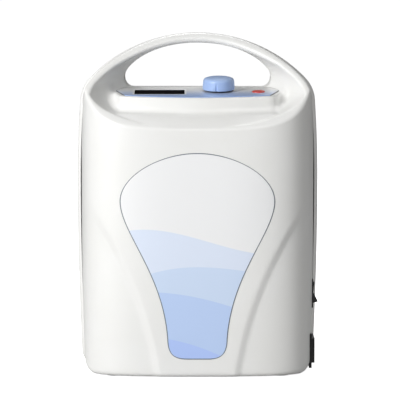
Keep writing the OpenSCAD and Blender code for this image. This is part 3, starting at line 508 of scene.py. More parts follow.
across = spaced((-93.0, 93.1, 1.35))
front_grid = (across, spaced((-60.0, 17.0, 1.15)), spaced((-2.0, 170.0, 1.7), (170.0, 252.0, 1.0)))
front_shell = new_object("front_shell_moulded", *mesh_of(
    lambda p: trim(front_half(p), plane(p, (0, 1, 0), PARTING_Y + 3), 0.5), *front_grid))
report(front_shell)
inside_grid = (spaced((-90.0, 90.1, 2.6)), spaced((-60.0, 20.0, 2.6)), spaced((-2.0, 214.0, 2.6)))
front_room = new_object("front_room", *mesh_of(lambda p: room(front_half(p), p, 206, 1), *inside_grid))
report(front_room)

# %% Openings of the front shell
inlet_low, inlet_high = (np.array(c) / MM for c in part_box("power_inlet"))
rocker_low, rocker_high = (np.array(c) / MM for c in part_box("rocker_housing"))
WINDOW, KNOB_AT, BUTTON_AT = (-27.6, 21.0, 36.6, 18.0), (15.5, 26.0), (44.5, 22.0)
BUSH_R, BUTTON_R, FAR = 4.4, 4.85, 120
feet_low, feet_high = (np.array(c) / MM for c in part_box("rubber_feet"))
feet = [(sx * (feet_high[0] - 7), y) for sx in (-1, 1) for y in (feet_low[1] + 7, feet_high[1] - 7)]


def on_panel(part):
    """Moves a cutter or a solid from the console's frame into place."""
    return from_panel(part[0]), part[1]


def pocket(low, high, proud, body):
    """A flange's pocket in the side wall, and the opening for the body behind it."""
    seat, y, z = high[0] - proud, (low[1] + high[1]) / 2, (low[2] + high[2]) / 2
    w, h = high[1] - low[1], high[2] - low[2]
    return [solid_from("pocket", [prism(rounded(y, z, w + 0.6, h + 0.6, 1.6), 0, seat, FAR)]),
            solid_from("opening", [prism(rounded(y, z, w - body, h - body, 1.0), 0, seat - 8, seat + 5)])]


def foot_recesses():
    """Round recesses in the underside for the rubber feet."""
    return solid_from("recess", [prism(disc(x, y, 7.2), 2, -2, 2.0) for x, y in feet])


panel_holes = [on_panel(prism(rounded(WINDOW[0], WINDOW[1], WINDOW[2], WINDOW[3], 0.9), 2, -9, 3)),
               on_panel(prism(disc(*KNOB_AT, BUSH_R), 2, -9, 3)),
               on_panel(prism(disc(*BUTTON_AT, BUTTON_R + 0.2), 2, -9, 3))]
behind = solid_from("behind", [prism([[-FAR, -20], [FAR, -20], [FAR, 260], [-FAR, 260]],
                                     1, PARTING_Y, 60)])
carve(front_shell, [front_room, behind, solid_from("panel_holes", panel_holes), foot_recesses()]
      + pocket(inlet_low, inlet_high, 4.2, 4) + pocket(rocker_low, rocker_high, 2.0, 2))
smooth_mesh(front_shell)
report(front_shell)

# %% Rear shell
rear_grid = (across, spaced((8.0, 60.0, 1.15)), spaced((-2.0, 170.0, 1.7), (170.0, 252.0, 1.0)))
rear_shell = new_object("rear_shell_moulded", *mesh_of(rear_half, *rear_grid))
room_grid = (spaced((-90.0, 90.1, 2.6)), spaced((4.0, 58.0, 2.6)), spaced((-2.0, 214.0, 2.6)))
SCREWS = [(s * x, z) for s in (-1, 1) for x, z in ((46, 12.5), (75, 100), (72, 183))]
OUTLETS = [(-50.0, 170.0), (-26.0, 170.0)]
wells = solid_from("wells", [prism(disc(x, z, 3.5), 1, 48, 60) for x, z in SCREWS])
seats = solid_from("seats", [prism(disc(x, z, 8.3), 1, REAR_Y - 2, 60) for x, z in OUTLETS])
throats = solid_from("throats", [prism(disc(x, z, 5.8), 1, 40, REAR_Y - 1) for x, z in OUTLETS])


def vent_slot(x):
    """One slot with round ends and a chamfered mouth."""
    inner, outer = rounded(x, 169, 2.6, 22, 1.29), rounded(x, 169, 3.6, 23, 1.79)
    n = len(inner)
    v = np.zeros((3 * n, 3))
    for row, (ring, y) in enumerate(((inner, 49.0), (inner, REAR_Y - 0.6), (outer, REAR_Y + 0.4))):
        v[row * n:(row + 1) * n] = np.stack([ring[:, 0], np.full(n, y), ring[:, 1]], 1)
    faces = [list(range(n)), list(range(3 * n - 1, 2 * n - 1, -1))]
    faces += [[r * n + i, (r + 1) * n + i, (r + 1) * n + (i + 1) % n, r * n + (i + 1) % n]
              for r in (0, 1) for i in range(n)]
    return v, faces


vents = solid_from("vents", [vent_slot(15.3 + 6 * k) for k in range(8)])
carve(rear_shell, [new_object("rear_room", *mesh_of(rear_room, *room_grid)), wells, seats, throats,
                   vents, foot_recesses()])
smooth_mesh(rear_shell)
place(front_shell, "pump_case", "front_shell")
place(rear_shell, "pump_case", "rear_shell")

# %% [markdown]
# ## Front label
# The label is a thin printed film that hugs the rounded front. It is built as rings that follow
# its edge, so that the printed border can read its distance from the edge out of a UV map.

# %% Label film
LABEL_TOP, LABEL_BOTTOM, LABEL_HALF, LABEL_FOOT = 163.0, 14.1, 55.8, 21.5


def label_outline(g):
    """Right half of the label's edge from foot to top, drawn in by g."""
    half, foot, top, bottom = LABEL_HALF - g, LABEL_FOOT - g, LABEL_TOP - g, LABEL_BOTTOM + g
    return np.vstack([
        bezier([7, bottom], [LABEL_FOOT - 5, bottom], [foot, LABEL_BOTTOM + 3],
               [foot + 0.2, LABEL_BOTTOM + 15], 18),
        bezier([foot + 0.2, LABEL_BOTTOM + 15], [foot + 3.5, LABEL_BOTTOM + 63],
               [half, LABEL_BOTTOM + 92], [half, LABEL_BOTTOM + 114], 36)[1:],
        bezier([half, LABEL_BOTTOM + 114], [half, LABEL_TOP - 17], [LABEL_HALF / 2, top],
               [0, top], 40)[1:]])


def front_face_y(x, stand=0.0):
    """Where the rounded front lies at x."""
    half = CASE_W / 2 * NARROW
    depth = (1 - (np.abs(x) / half) ** FRONT_POWER) ** (1 / FRONT_POWER)
    return PARTING_Y - (PARTING_Y - FRONT_Y - stand) * depth


def film_from_rings(name, rings, depths, thickness, surface):
    """A thin closed film: rings of points, an edge wall, a back, and the edge distance as UV."""
    n = len(rings[0])
    top = np.vstack(rings)
    count = len(top)
    points = np.vstack([surface(top), surface(top, thickness)])
    faces = []
    for k in range(len(rings) - 1):
        for i in range(n):
            j = (i + 1) % n
            a, b, c, d = k * n + i, k * n + j, (k + 1) * n + j, (k + 1) * n + i
            faces.append([a, b, c, d])
            faces.append([count + d, count + c, count + b, count + a])
    faces += [[(i + 1) % n, i, count + i, count + (i + 1) % n] for i in range(n)]
    obj = new_object(name, points, faces)
    depth = np.concatenate([np.repeat(depths, n), np.zeros(count)])
    layer = obj.data.uv_layers.new(name="edge")
    loops = np.array([l.vertex_index for l in obj.data.loops])
    layer.data.foreach_set("uv", np.stack([depth[loops] / 100, np.zeros(len(loops))], 1).ravel())
    return smooth_mesh(edited(obj, merge), 50)


def both_sides(half):
    """A closed ring from its right half, which starts and ends on the middle."""
    left = half[::-1] * [-1, 1]
    return np.vstack([half, left[1:] if half[-1, 0] < 1e-6 else left])


label_depths = [0, 0.25, 0.5, 0.8, 1.2, 1.8, 3, 5]
label_rings = [both_sides(label_outline(g)) for g in label_depths]
inmost = label_rings[-1]
for share in (0.85, 0.7, 0.55, 0.4, 0.25, 0.12, 0.0):
    ring = inmost.copy()
    ring[:, 0] *= share
    ring[:, 1] = 90 + (ring[:, 1] - 90) * (0.75 + 0.25 * share)
    label_rings.append(ring)
    label_depths.append(5 + 40 * (1 - share))
label = film_from_rings(
    "front_label_print", label_rings, label_depths, 0.16,
    lambda q, back=0.0: np.stack([q[:, 0], front_face_y(q[:, 0]) + back, q[:, 1]], 1))
place(label, "pump_case", "front_label")

# %% [markdown]
# ## Console
# The membrane is a printed plastic sheet with a window, a knob bushing and a button hole in it.
# The knob is turned and then grooved: one profile is swept round, and its radius dips in five
# narrow grips that start under the dome, as on the photo.

# %% Membrane
panel_edge = console_outline(0)
membrane_points, membrane_faces = prism(panel_edge, 2, -MEMBRANE_T, 0)
membrane = solid_from("membrane_sheet", [(from_panel(membrane_points), membrane_faces)])
carve(membrane, [solid_from("panel_holes", panel_holes)])
edited(membrane, lambda work: bmesh.ops.bevel(
    work, geom=[e for e in work.edges if e.calc_face_angle(0) > 1.0], offset=0.12 * MM, segments=2,
    affect="EDGES"))
place(smooth_mesh(membrane, 25), "pump_case", "membrane_panel")

# %% Knob
def swept(profile, segments, dip=None, from_r=2):
    """A profile of (radius, height) swept round; dip(angle, height) is taken off beyond from_r."""
    profile = np.asarray(profile, float)
    a = np.linspace(0, 2 * math.pi, segments, endpoint=False)
    points, faces = [], []
    for r, h in profile:
        rr = np.maximum(r - (dip(a, h) if dip and r > from_r else 0.0 * a), 0)
        points.append(np.stack([rr * np.cos(a), rr * np.sin(a), np.full(segments, h)], 1))
    for k in range(len(profile) - 1):
        faces += [[k * segments + i, k * segments + (i + 1) % segments,
                   (k + 1) * segments + (i + 1) % segments, (k + 1) * segments + i]
                  for i in range(segments)]
    return np.vstack(points), faces


def closed(obj, dist=2e-6):
    """Merges doubled points and closes the poles."""
    def fill(work):
        """Fills what is still open."""
        bmesh.ops.dissolve_degenerate(work, dist=dist / 4, edges=work.edges)
        holes = [e for e in work.edges if e.is_boundary]
        if holes:
            bmesh.ops.holes_fill(work, edges=holes, sides=0)
    return edited(obj, lambda work: merge(work, dist), fill)


def knob_profile():
    """Skirt, tapered wall, rounded shoulder and dome, then the hollow underside."""
    wall = [[10.9, 0.7], [11.5, 0.75], [11.75, 1.0], [11.8, 1.4]]
    wall += [[11.8 - 0.45 * t, 1.4 + 5.2 * t] for t in np.linspace(0.1, 1, 10)]
    shoulder = bezier([11.35, 6.6], [11.2, 8.1], [10.6, 8.75], [8.6, 9.25], 12)[1:]
    dome = bezier([8.6, 9.25], [5.6, 9.85], [2.4, 10.0], [0, 10.0], 12)[1:]
    under = [[0, 7.5], [3.0, 7.5], [3.05, 3.0], [9.6, 3.0], [10.2, 0.9]]
    return wall + shoulder.tolist() + dome.tolist() + under + [wall[0]]


def grips(angle, height):
    """Five V grooves that deepen towards the skirt."""
    turn = (angle - math.radians(-98.7)) / (2 * math.pi / 5)
    off = (turn - np.round(turn)) * (2 * math.pi / 5) * 11.5
    deep = 0.95 * ease((7.6 - height) / 5.5)
    width = 0.55 + 0.55 * ease((7.0 - height) / 6)
    return deep * np.clip(1 - np.abs(off) / width, 0, 1) ** 1.2


def on_console(name, turned, at, lift=0.0):
    """A swept piece stood on the console at a place, lifted a little."""
    points, faces = turned
    return closed(new_object(name, from_panel(points + [at[0], at[1], lift]), faces))


knob = on_console("knob_moulded", swept(knob_profile(), 360, grips), KNOB_AT, 0.5)
# The collar is painted shade: a black ring in the gap under the knob's skirt, where shade falls.
painted_shade_collar = on_console("knob_collar", swept([[9.9, 0.55], [10.7, 0.55], [10.8, 0.65], [10.8, 1.24],
                                          [9.9, 1.24], [9.9, 0.55]], 120), KNOB_AT)
for piece in (knob, painted_shade_collar):
    place(smooth_mesh(piece, 40), "knob", "knob")

# %% Start button
button_profile = [[0, -2], [4.6, -2], [4.65, 0.05], [4.6, 0.3], [4.35, 0.48], [3.6, 0.55], [2.0, 0.5],
                  [0, 0.42]]
button = on_console("start_button_moulded", swept(button_profile, 96), BUTTON_AT)
place(smooth_mesh(button, 40), "start_button", "start_button")

# %% [markdown]
# ## Finishes
# Nearly everything here is moulded plastic, so one node group carries what such plastic has:
# a slow drift of colour, a fine spark-eroded grain from the tool, rubbed and dusty patches, and
# the roughness that goes with each. Every finish places the group with its own values.

# %% Node helpers
def socket_group(name, inputs, outputs):
    """A node group with named number or colour inputs and outputs."""
    tree = bpy.data.node_groups.new(name, "ShaderNodeTree")
    for title, kind, value in inputs:
        item = tree.interface.new_socket(name=title, in_out="INPUT", socket_type=kind)
        item.default_value = value
    for title, kind in outputs:
        tree.interface.new_socket(name=title, in_out="OUTPUT", socket_type=kind)
    return tree, tree.nodes.new("NodeGroupInput"), tree.nodes.new("NodeGroupOutput")


def add(tree, kind, links=None, **values):
    """Adds a node, sets its options and inputs, and links (socket: source)."""
    n = tree.nodes.new("ShaderNode" + kind)
    for key, value in values.items():
        if hasattr(n, key):
            setattr(n, key, value)
        else:
            n.inputs[key].default_value = value
    for key, source in (links or {}).items():
        tree.links.new(source, n.inputs[key])
    return n


def in_millimetres(tree):
    """Object coordinates in millimetres."""
    return add(tree, "VectorMath", {0: add(tree, "TexCoord").outputs["Object"]}, operation="SCALE",
               Scale=1000.0).outputs[0]


def placed(tree, group, **values):
    """Places a node group with its own values."""
    n = tree.nodes.new("ShaderNodeGroup")
    n.node_tree = group
    for key, value in values.items():
        n.inputs[key].default_value = value
    return n


def bumped(tree, height, depth, strength, normal=None):
    """A Bump node whose full height is depth millimetres."""
    n = add(tree, "Bump", {"Height": height}, Strength=strength, Distance=depth * MM)
    if normal:
        tree.links.new(normal, n.inputs["Normal"])
    return n


def math_node(tree, operation, a, b=None, c=None):
    """One Math node; each input is a number or a socket."""
    n = tree.nodes.new("ShaderNodeMath")
    n.operation = operation
    for i, value in enumerate((a, b, c)):
        if value is None:
            continue
        if isinstance(value, (int, float)):
            n.inputs[i].default_value = value
        else:
            tree.links.new(value, n.inputs[i])
    return n.outputs[0]


def blend_colour(tree, share, first, second):
    """Mixes two colours; each is a colour or a socket."""
    n = tree.nodes.new("ShaderNodeMix")
    n.data_type = "RGBA"
    for key, value in ((0, share), (6, first), (7, second)):
        if isinstance(value, (int, float)):
            n.inputs[key].default_value = value
        elif isinstance(value, tuple):
            n.inputs[key].default_value = (*value, 1)
        else:
            tree.links.new(value, n.inputs[key])
    return n.outputs[2]


def step_up(tree, value, start, end):
    """0 below start and 1 above end, smooth between."""
    n = add(tree, "MapRange", {"Value": value}, interpolation_type="SMOOTHSTEP")
    n.inputs["From Min"].default_value, n.inputs["From Max"].default_value = start, end
    return n.outputs[0]


print("node helpers ready")

# %% The moulded skin group
skin, skin_in, skin_out = socket_group(
    "moulded skin",
    [("Colour", "NodeSocketColor", (0.8, 0.8, 0.8, 1)),
     ("Drift", "NodeSocketColor", (0.75, 0.75, 0.73, 1)),
     ("Drift share", "NodeSocketFloat", 0.25), ("Patch size", "NodeSocketFloat", 40.0),
     ("Grain size", "NodeSocketFloat", 0.35), ("Roughness", "NodeSocketFloat", 0.35),
     ("Rough spread", "NodeSocketFloat", 0.08), ("Dust", "NodeSocketFloat", 0.1)],
    [("Colour", "NodeSocketColor"), ("Roughness", "NodeSocketFloat"), ("Height", "NodeSocketFloat")])
skin_mm = in_millimetres(skin)


def noise(tree, source, size, detail=3.0, rough=0.55):
    """Noise whose features are about size millimetres across (a number or a socket)."""
    scale = math_node(tree, "DIVIDE", 1.0, size)
    return add(tree, "TexNoise", {"Vector": source, "Scale": scale}, Detail=detail,
               Roughness=rough).outputs[0]


patches = noise(skin, skin_mm, skin_in.outputs["Patch size"])
grain = noise(skin, skin_mm, skin_in.outputs["Grain size"], 2.0)
smear = noise(skin, skin_mm, math_node(skin, "MULTIPLY", skin_in.outputs["Patch size"], 0.3), 5.0, 0.7)
facing_up = add(skin, "SeparateXYZ", {0: add(skin, "NewGeometry").outputs["Normal"]}).outputs["Z"]
dust = math_node(skin, "MULTIPLY", step_up(skin, facing_up, 0.35, 1.0),
                 math_node(skin, "MULTIPLY", step_up(skin, smear, 0.42, 0.75), skin_in.outputs["Dust"]))
drift = math_node(skin, "MULTIPLY", step_up(skin, patches, 0.3, 0.7), skin_in.outputs["Drift share"])
base = blend_colour(skin, drift, skin_in.outputs["Colour"], skin_in.outputs["Drift"])
base = blend_colour(skin, dust, base, (0.62, 0.60, 0.56))
skin.links.new(base, skin_out.inputs["Colour"])
spread = math_node(skin, "MULTIPLY", math_node(skin, "SUBTRACT", smear, 0.5),
                   skin_in.outputs["Rough spread"])
rough = math_node(skin, "ADD", math_node(skin, "MULTIPLY_ADD", spread, 2.0, skin_in.outputs["Roughness"]),
                  math_node(skin, "MULTIPLY", dust, 0.5))
skin.links.new(rough, skin_out.inputs["Roughness"])
skin.links.new(grain, skin_out.inputs["Height"])
print("skin group:", len(skin.nodes), "nodes")

# %% A finish from the skin group
def moulded(name, colour, drift_to=None, share=0.25, patch=40.0, grain_mm=0.35, grain_depth=0.02,
            roughness=0.35, spread=0.06, dust_share=0.1, metallic=0.0, coat=0.0, coat_rough=0.1, ior=1.5,
            specular=0.5, subsurface=0.0):
    """A finish whose colour, roughness and grain come from the moulded skin group."""
    m = bpy.data.materials.new(name)
    m.use_nodes = True
    t = m.node_tree
    shader = t.nodes["Principled BSDF"]
    g = placed(t, skin, **{"Colour": (*colour, 1), "Drift": (*(drift_to or [c * 0.93 for c in colour]), 1),
                           "Drift share": share, "Patch size": patch, "Grain size": grain_mm,
                           "Roughness": roughness, "Rough spread": spread, "Dust": dust_share})
    bump = bumped(t, g.outputs["Height"], grain_depth, 0.5)
    for source, target in ((g.outputs["Colour"], "Base Color"), (g.outputs["Roughness"], "Roughness"),
                           (bump.outputs[0], "Normal")):
        t.links.new(source, shader.inputs[target])
    for key, value in (("Metallic", metallic), ("Coat Weight", coat), ("Coat Roughness", coat_rough),
                       ("IOR", ior), ("Specular IOR Level", specular), ("Subsurface Weight", subsurface),
                       ("Subsurface Scale", 0.003)):
        shader.inputs[key].default_value = value
    m["shader"], m["skin"], m["bump"] = shader.name, g.name, bump.name
    return m


def shader_of(m):
    """The tree, Principled shader and skin group of a finish."""
    t = m.node_tree
    return t, t.nodes[m["shader"]], t.nodes[m["skin"]]


def paint(obj, finish):
    """Gives a piece one finish."""
    obj.data.materials.clear()
    obj.data.materials.append(finish)
    obj.data.polygons.foreach_set("material_index", [0] * len(obj.data.polygons))
    return obj


print("a finish has one Principled shader and places the group", skin.name)

# %% [markdown]
# ## Small fittings
# The switch, the inlet and the hose sockets are small mouldings. Their CAD solids have the right
# faces but knife edges, which no tool can mould. A copy of each solid is merged, its triangles
# are dissolved back into whole faces, and its sharp edges are bevelled, because the bright line
# along a bevel is what makes a small part look real.

# %% Softened copies of CAD solids
def body_copy(node):
    """A copy of a CAD solid's mesh with its loose triangles merged into whole faces."""
    obj = bpy.data.objects.new(node + "_moulded", bpy.data.objects[node].data.copy())
    bpy.context.scene.collection.objects.link(obj)
    return edited(obj, lambda work: merge(work, 1e-6), lambda work: bmesh.ops.dissolve_limit(
        work, angle_limit=math.radians(0.5), verts=work.verts, edges=work.edges))


def soften(node, width, angle=30):
    """Rounds the sharp edges of a copy of a CAD solid by width millimetres."""
    obj = body_copy(node)
    bevel = obj.modifiers.new("edge", "BEVEL")
    bevel.width, bevel.segments, bevel.limit_method = width * MM, 2, "ANGLE"
    bevel.angle_limit, bevel.use_clamp_overlap = math.radians(angle), True
    return place(smooth_mesh(baked(obj), 35), body_of_node[node], node)


def islands(node):
    """Lowest and highest corner, in millimetres, of each separate solid of a node."""
    work = bmesh.new()
    work.from_mesh(bpy.data.objects[node].data)
    merge(work, 1e-6)
    todo, boxes = set(work.verts), []
    while todo:
        group, edge = set(), [todo.pop()]
        while edge:
            v = edge.pop()
            group.add(v)
            near = {e.other_vert(v) for e in v.link_edges} & todo
            todo -= near
            edge += near
        co = np.array([v.co for v in group]) / MM
        boxes.append((co.min(0), co.max(0)))
    work.free()
    return sorted(boxes, key=lambda box: box[0].round(3).tolist())


print("separate feet:", len(islands("rubber_feet")))

# %% Switch, inlet and hose sockets
housing = soften("rocker_housing", 0.35)
inlet = soften("power_inlet", 0.45)
blades = soften("inlet_pins", 0.3)
sockets = soften("air_outlets", 0.4)
window = soften("display_window", 0.12)

# %% [markdown]
# ## Rocker
# The rocker is a saddle that is pressed at one end or the other. Its CAD solid already has that
# form, so a softened copy is enough. Its bevels are wider than those of the other fittings and
# reach shallower edges too, so that it takes one long highlight, as the real one does.

# %% Rocker
rocker = soften("rocker", 0.55, 20)

# %% [markdown]
# ## What repeats
# Screws, feet and the segments of the display are the same shape at several places. A Geometry
# Nodes tree puts one piece on each point, with a turn of its own, so that no two screws stop at
# the same angle. The tree ends in Realize Instances and Set Material, because an export keeps
# only real faces.

# %% Trees from a list
def geometry_tree(title, inputs, kinds, wires):
    """A Geometry Nodes tree: named inputs, named nodes, and wires written as "a.out > b.in"."""
    tree = bpy.data.node_groups.new(title, "GeometryNodeTree")
    for name, kind in (("Geometry", "Geometry"), *inputs.items()):
        tree.interface.new_socket(name=name, in_out="INPUT", socket_type="NodeSocket" + kind)
    tree.interface.new_socket(name="Geometry", in_out="OUTPUT", socket_type="NodeSocketGeometry")
    kinds = {**kinds, "given": "NodeGroupInput", "real": "GeometryNodeRealizeInstances",
             "coat": "GeometryNodeSetMaterial", "out": "NodeGroupOutput"}
    made = {name: tree.nodes.new(kind) for name, kind in kinds.items()}
    for wire in wires.split("; ") + ["real.Geometry > coat.Geometry", "given.Finish > coat.Material",
                                     "coat.Geometry > out.Geometry"]:
        (source, out), (target, into) = (end.split(".") for end in wire.split(" > "))
        out, into = (int(key) if key.isdigit() else key for key in (out, into))
        tree.links.new(made[source].outputs[out], made[target].inputs[into])
    return tree, made


def grown(obj, tree, **values):
    """Runs a tree on a piece with named inputs, and leaves a plain mesh with one finish."""
    change = obj.modifiers.new("grown", "NODES")
    change.node_group = tree
    for item in tree.interface.items_tree:
        if item.in_out == "INPUT" and item.name in values:
            change[item.identifier] = values[item.name]
    return paint(baked(obj), values["Finish"])


print("tree helpers ready")

# %% A tree that puts one piece on every point
COPIES, made = geometry_tree(
    "copies on points", {"Piece": "Object", "Axis": "Vector", "Turn spread": "Float", "Seed": "Int",
                         "Finish": "Material"},
    {"piece": "GeometryNodeObjectInfo", "place": "GeometryNodeInstanceOnPoints",
     "turn": "FunctionNodeRandomValue", "spin": "FunctionNodeAxisAngleToRotation", "back": "ShaderNodeMath"},
    "given.Piece > piece.Object; given.Turn spread > back.0; back.0 > turn.2; given.Turn spread > turn.3; "
    "given.Seed > turn.Seed; given.Axis > spin.Axis; turn.1 > spin.Angle; given.Geometry > place.Points; "
    "piece.Geometry > place.Instance; spin.0 > place.Rotation; place.0 > real.0")
made["back"].operation = "MULTIPLY"
made["back"].inputs[1].default_value = -1.0


def repeat(name, piece, points, axis, turn, finish, node):
    """Copies piece to every point (mm), each turned at random, and lets it stand for a CAD node."""
    values = {"Piece": piece, "Axis": axis, "Turn spread": turn, "Seed": 3, "Finish": finish}
    obj = grown(new_object(name, points, []), COPIES, **values)
    bpy.data.objects.remove(piece)
    return place(obj, body_of_node[node], node)


print(COPIES.name, "takes", [i.name for i in COPIES.interface.items_tree if i.in_out == "INPUT"])

# %% Case screws
def cross_screw(length, shank, head_r, head_h, pitch=1.3):
    """A self-tapping screw along +Y whose head ends at 0, with a cross recess and a thread."""
    top = [[0, 0], [head_r * 0.6, -0.05], [head_r * 0.82, -head_h * 0.14],
           [head_r * 0.95, -head_h * 0.35], [head_r, -head_h * 0.6], [head_r, -head_h + 0.1],
           [head_r - 0.1, -head_h]]
    stem = [[shank, h] for h in np.arange(-head_h - 0.01, -length + 2.5, -pitch / 5)]
    tip = [[shank * 0.7, -length + 1.2], [0, -length]]

    def thread(angle, h):
        """How deep the thread cuts into the lower half of the shank."""
        threaded = -length + 2.5 <= h < -length * 0.45
        return 0.42 * threaded * np.abs(2 * ((h / pitch + angle / (2 * math.pi)) % 1) - 1)
    points, faces = swept(top + stem + tip, 20, thread, 0)
    screw = closed(new_object("screw", points[:, [0, 2, 1]], faces))
    slots = [prism(rounded(0, 0, w, h, 0.25), 1, -1.2, 0.6) for w, h in ((3.6, 0.8), (0.8, 3.6))]
    carve(screw, [solid_from("slot_a", slots[:1]), solid_from("slot_b", slots[1:])])
    return smooth_mesh(screw, 35)


steel = moulded("zinc-plated screw steel", (0.62, 0.62, 0.60), (0.50, 0.49, 0.45), roughness=0.28,
                patch=3, metallic=1.0, grain_mm=0.15, grain_depth=0.006, dust_share=0.05)
heads = [((low + high) / 2 * [1, 0, 1] + [0, high[1], 0]).tolist() for low, high in islands("case_screws")]
case_screws = repeat("case_screws_turned", cross_screw(48.6, 1.7, 3.2, 2.6), heads, (0, 1, 0), 1.5, steel,
                     "case_screws")

# %% Feet
rubber = moulded("foot rubber", (0.018, 0.018, 0.019), (0.03, 0.03, 0.03), roughness=0.75, patch=8,
                 spread=0.1, grain_mm=0.5, grain_depth=0.05, dust_share=0.25)
foot_profile = [[0, 2.0], [6.95, 2.0], [7, 1.9], [7, 0.8], [6.9, 0.4], [6.6, 0.1], [6.2, 0], [5.2, 0],
                [4.9, 0.08], [4.6, 0.32], [4.2, 0.4], [0, 0.4]]
foot = smooth_mesh(closed(new_object("foot", *swept(foot_profile, 64))), 50)
rubber_feet = repeat("rubber_feet_moulded", foot, [[x, y, 0] for x, y in feet], (0, 0, 1), 3.1, rubber,
                     "rubber_feet")

# %% Display
SEGMENTS, made = geometry_tree(
    "display segments", {"Length": "Float", "Width": "Float", "Depth": "Float", "Finish": "Material"},
    {"bar": "GeometryNodeMeshCircle", "size": "ShaderNodeCombineXYZ", "stretch": "GeometryNodeTransform",
     "thick": "GeometryNodeExtrudeMesh", "turn": "GeometryNodeInputNamedAttribute",
     "spin": "ShaderNodeCombineXYZ", "place": "GeometryNodeInstanceOnPoints"},
    "given.Length > size.X; given.Width > size.Y; bar.Mesh > stretch.Geometry; size.0 > stretch.Scale; "
    "stretch.0 > thick.Mesh; given.Depth > thick.Offset Scale; given.Geometry > place.Points; "
    "thick.Mesh > place.Instance; turn.Attribute > spin.Z; spin.0 > place.Rotation; place.0 > real.0")
made["bar"].fill_type, made["turn"].data_type = "NGON", "FLOAT"
made["bar"].inputs["Vertices"].default_value, made["bar"].inputs["Radius"].default_value = 6, 0.5
made["turn"].inputs["Name"].default_value, made["size"].inputs["Z"].default_value = "turn", 1.0

display = soften("display_module", 0.15)
cad_display = np.array([v.co for v in bpy.data.objects["display_module"].data.vertices]) / MM
display_top = to_panel(*cad_display.T)[2].max()
pale = moulded("pale display segments", (0.45, 0.43, 0.42), roughness=0.5, patch=2, grain_mm=0.2,
               dust_share=0)
DIGIT_PITCH, ARM_X, ARM_Y, BAR_Y = 12, 3.25, 3.2, 6.1
bars = [(0, BAR_Y, 0), (0, 0, 0), (0, -BAR_Y, 0)] + [
    (x, y, 1) for y in (ARM_Y, -ARM_Y) for x in (ARM_X, -ARM_X)]
places = [(WINDOW[0] + DIGIT_PITCH * digit + x, WINDOW[1] + y, a) for digit in (-1, 0, 1)
          for x, y, a in bars]
segments = new_object("display_segments", [[x, y, display_top - 0.6] for x, y, _ in places], [])
turns = segments.data.attributes.new("turn", "FLOAT", "POINT")
turns.data.foreach_set("value", [a * math.pi / 2 for _, _, a in places])
grown(segments, SEGMENTS, Length=4.9 * MM, Width=1.2 * MM, Depth=0.5 * MM, Finish=pale)
flat = np.array([v.co for v in segments.data.vertices]) / MM
segments.data.vertices.foreach_set("co", (from_panel(flat) * MM).ravel())
place(smooth_mesh(closed(segments, 1e-7), 20), "pump_case", "display_module")

# %% [markdown]
# ## Inside
# The pump motor, the valve, the boards and the supply sit behind the shells and are seen when
# the case is opened. Their CAD solids carry the shapes, so softened copies are enough. Only the
# motor's winding is made anew, because a smooth block doesn't read as wire.

# %% Softened inner parts
INNER = {"transformer": 0.5, "supply_capacitor": 0.6, "pump_frame": 0.4, "pump_head_left": 0.6,
         "pump_head_right": 0.6, "field_core": 0.25, "armature": 0.3, "distributor_body": 0.4,
         "distributor_rotor": 0.3, "distributor_motor": 0.6, "control_body": 0.4, "control_shaft": 0.2,
         "start_switch": 0.2, "pressure_sensor": 0.3, "rocker_terminals": 0.12}
inner_parts = {node: soften(node, width) for node, width in INNER.items()}

# %% Winding of the pump's magnet
WOUND, made = geometry_tree(
    "wound wire", {"Turns": "Int", "Pitch": "Vector", "Wire radius": "Float", "Finish": "Material"},
    {"path": "GeometryNodeMeshToCurve", "rows": "GeometryNodeMeshLine", "tube": "GeometryNodeCurveToMesh",
     "place": "GeometryNodeInstanceOnPoints", "wire": "GeometryNodeCurvePrimitiveCircle"},
    "given.Wire radius > wire.Radius; given.Geometry > path.Mesh; path.Curve > tube.Curve; "
    "wire.Curve > tube.Profile Curve; given.Turns > rows.Count; given.Pitch > rows.Offset; "
    "rows.Mesh > place.Points; tube.Mesh > place.Instance; place.0 > real.0")
made["wire"].inputs["Resolution"].default_value = 8

coil_low, coil_high = (np.array(c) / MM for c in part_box("field_coil"))
coil_mid, WIRE_R = (coil_low + coil_high) / 2, 0.29
loop = rounded(coil_mid[0], coil_mid[2], *(coil_high - coil_low)[[0, 2]] - 2 * WIRE_R - 0.02, 4.6, 6)
winding = new_object("field_winding", [[x, coil_low[1] + WIRE_R + 0.02, z] for x, z in loop], [])


def ring_of_edges(work):
    """Joins the points in a closed ring."""
    work.verts.ensure_lookup_table()
    for k in range(len(work.verts)):
        work.edges.new((work.verts[k - 1], work.verts[k]))


grown(edited(winding, ring_of_edges), WOUND, Turns=15, Finish=steel,
      **{"Pitch": (0, 0.6 * MM, 0), "Wire radius": WIRE_R * MM})
smooth_mesh(closed(winding, 1e-7), 60)
bobbin = smooth_mesh(body_copy("field_coil"), 35)
bobbin.name = "field_bobbin"
co = np.array([v.co for v in bobbin.data.vertices]) / MM - coil_mid
outer = (np.abs(co[:, 0]) > 7.6) | (np.abs(co[:, 2]) > 10.5)
co[np.ix_(outer, [0, 2])] -= 0.35 * np.sign(co[np.ix_(outer, [0, 2])])
bobbin.data.vertices.foreach_set("co", ((co + coil_mid) * MM).ravel())
for piece in (winding, bobbin):
    place(piece, "pump_case", "field_coil")

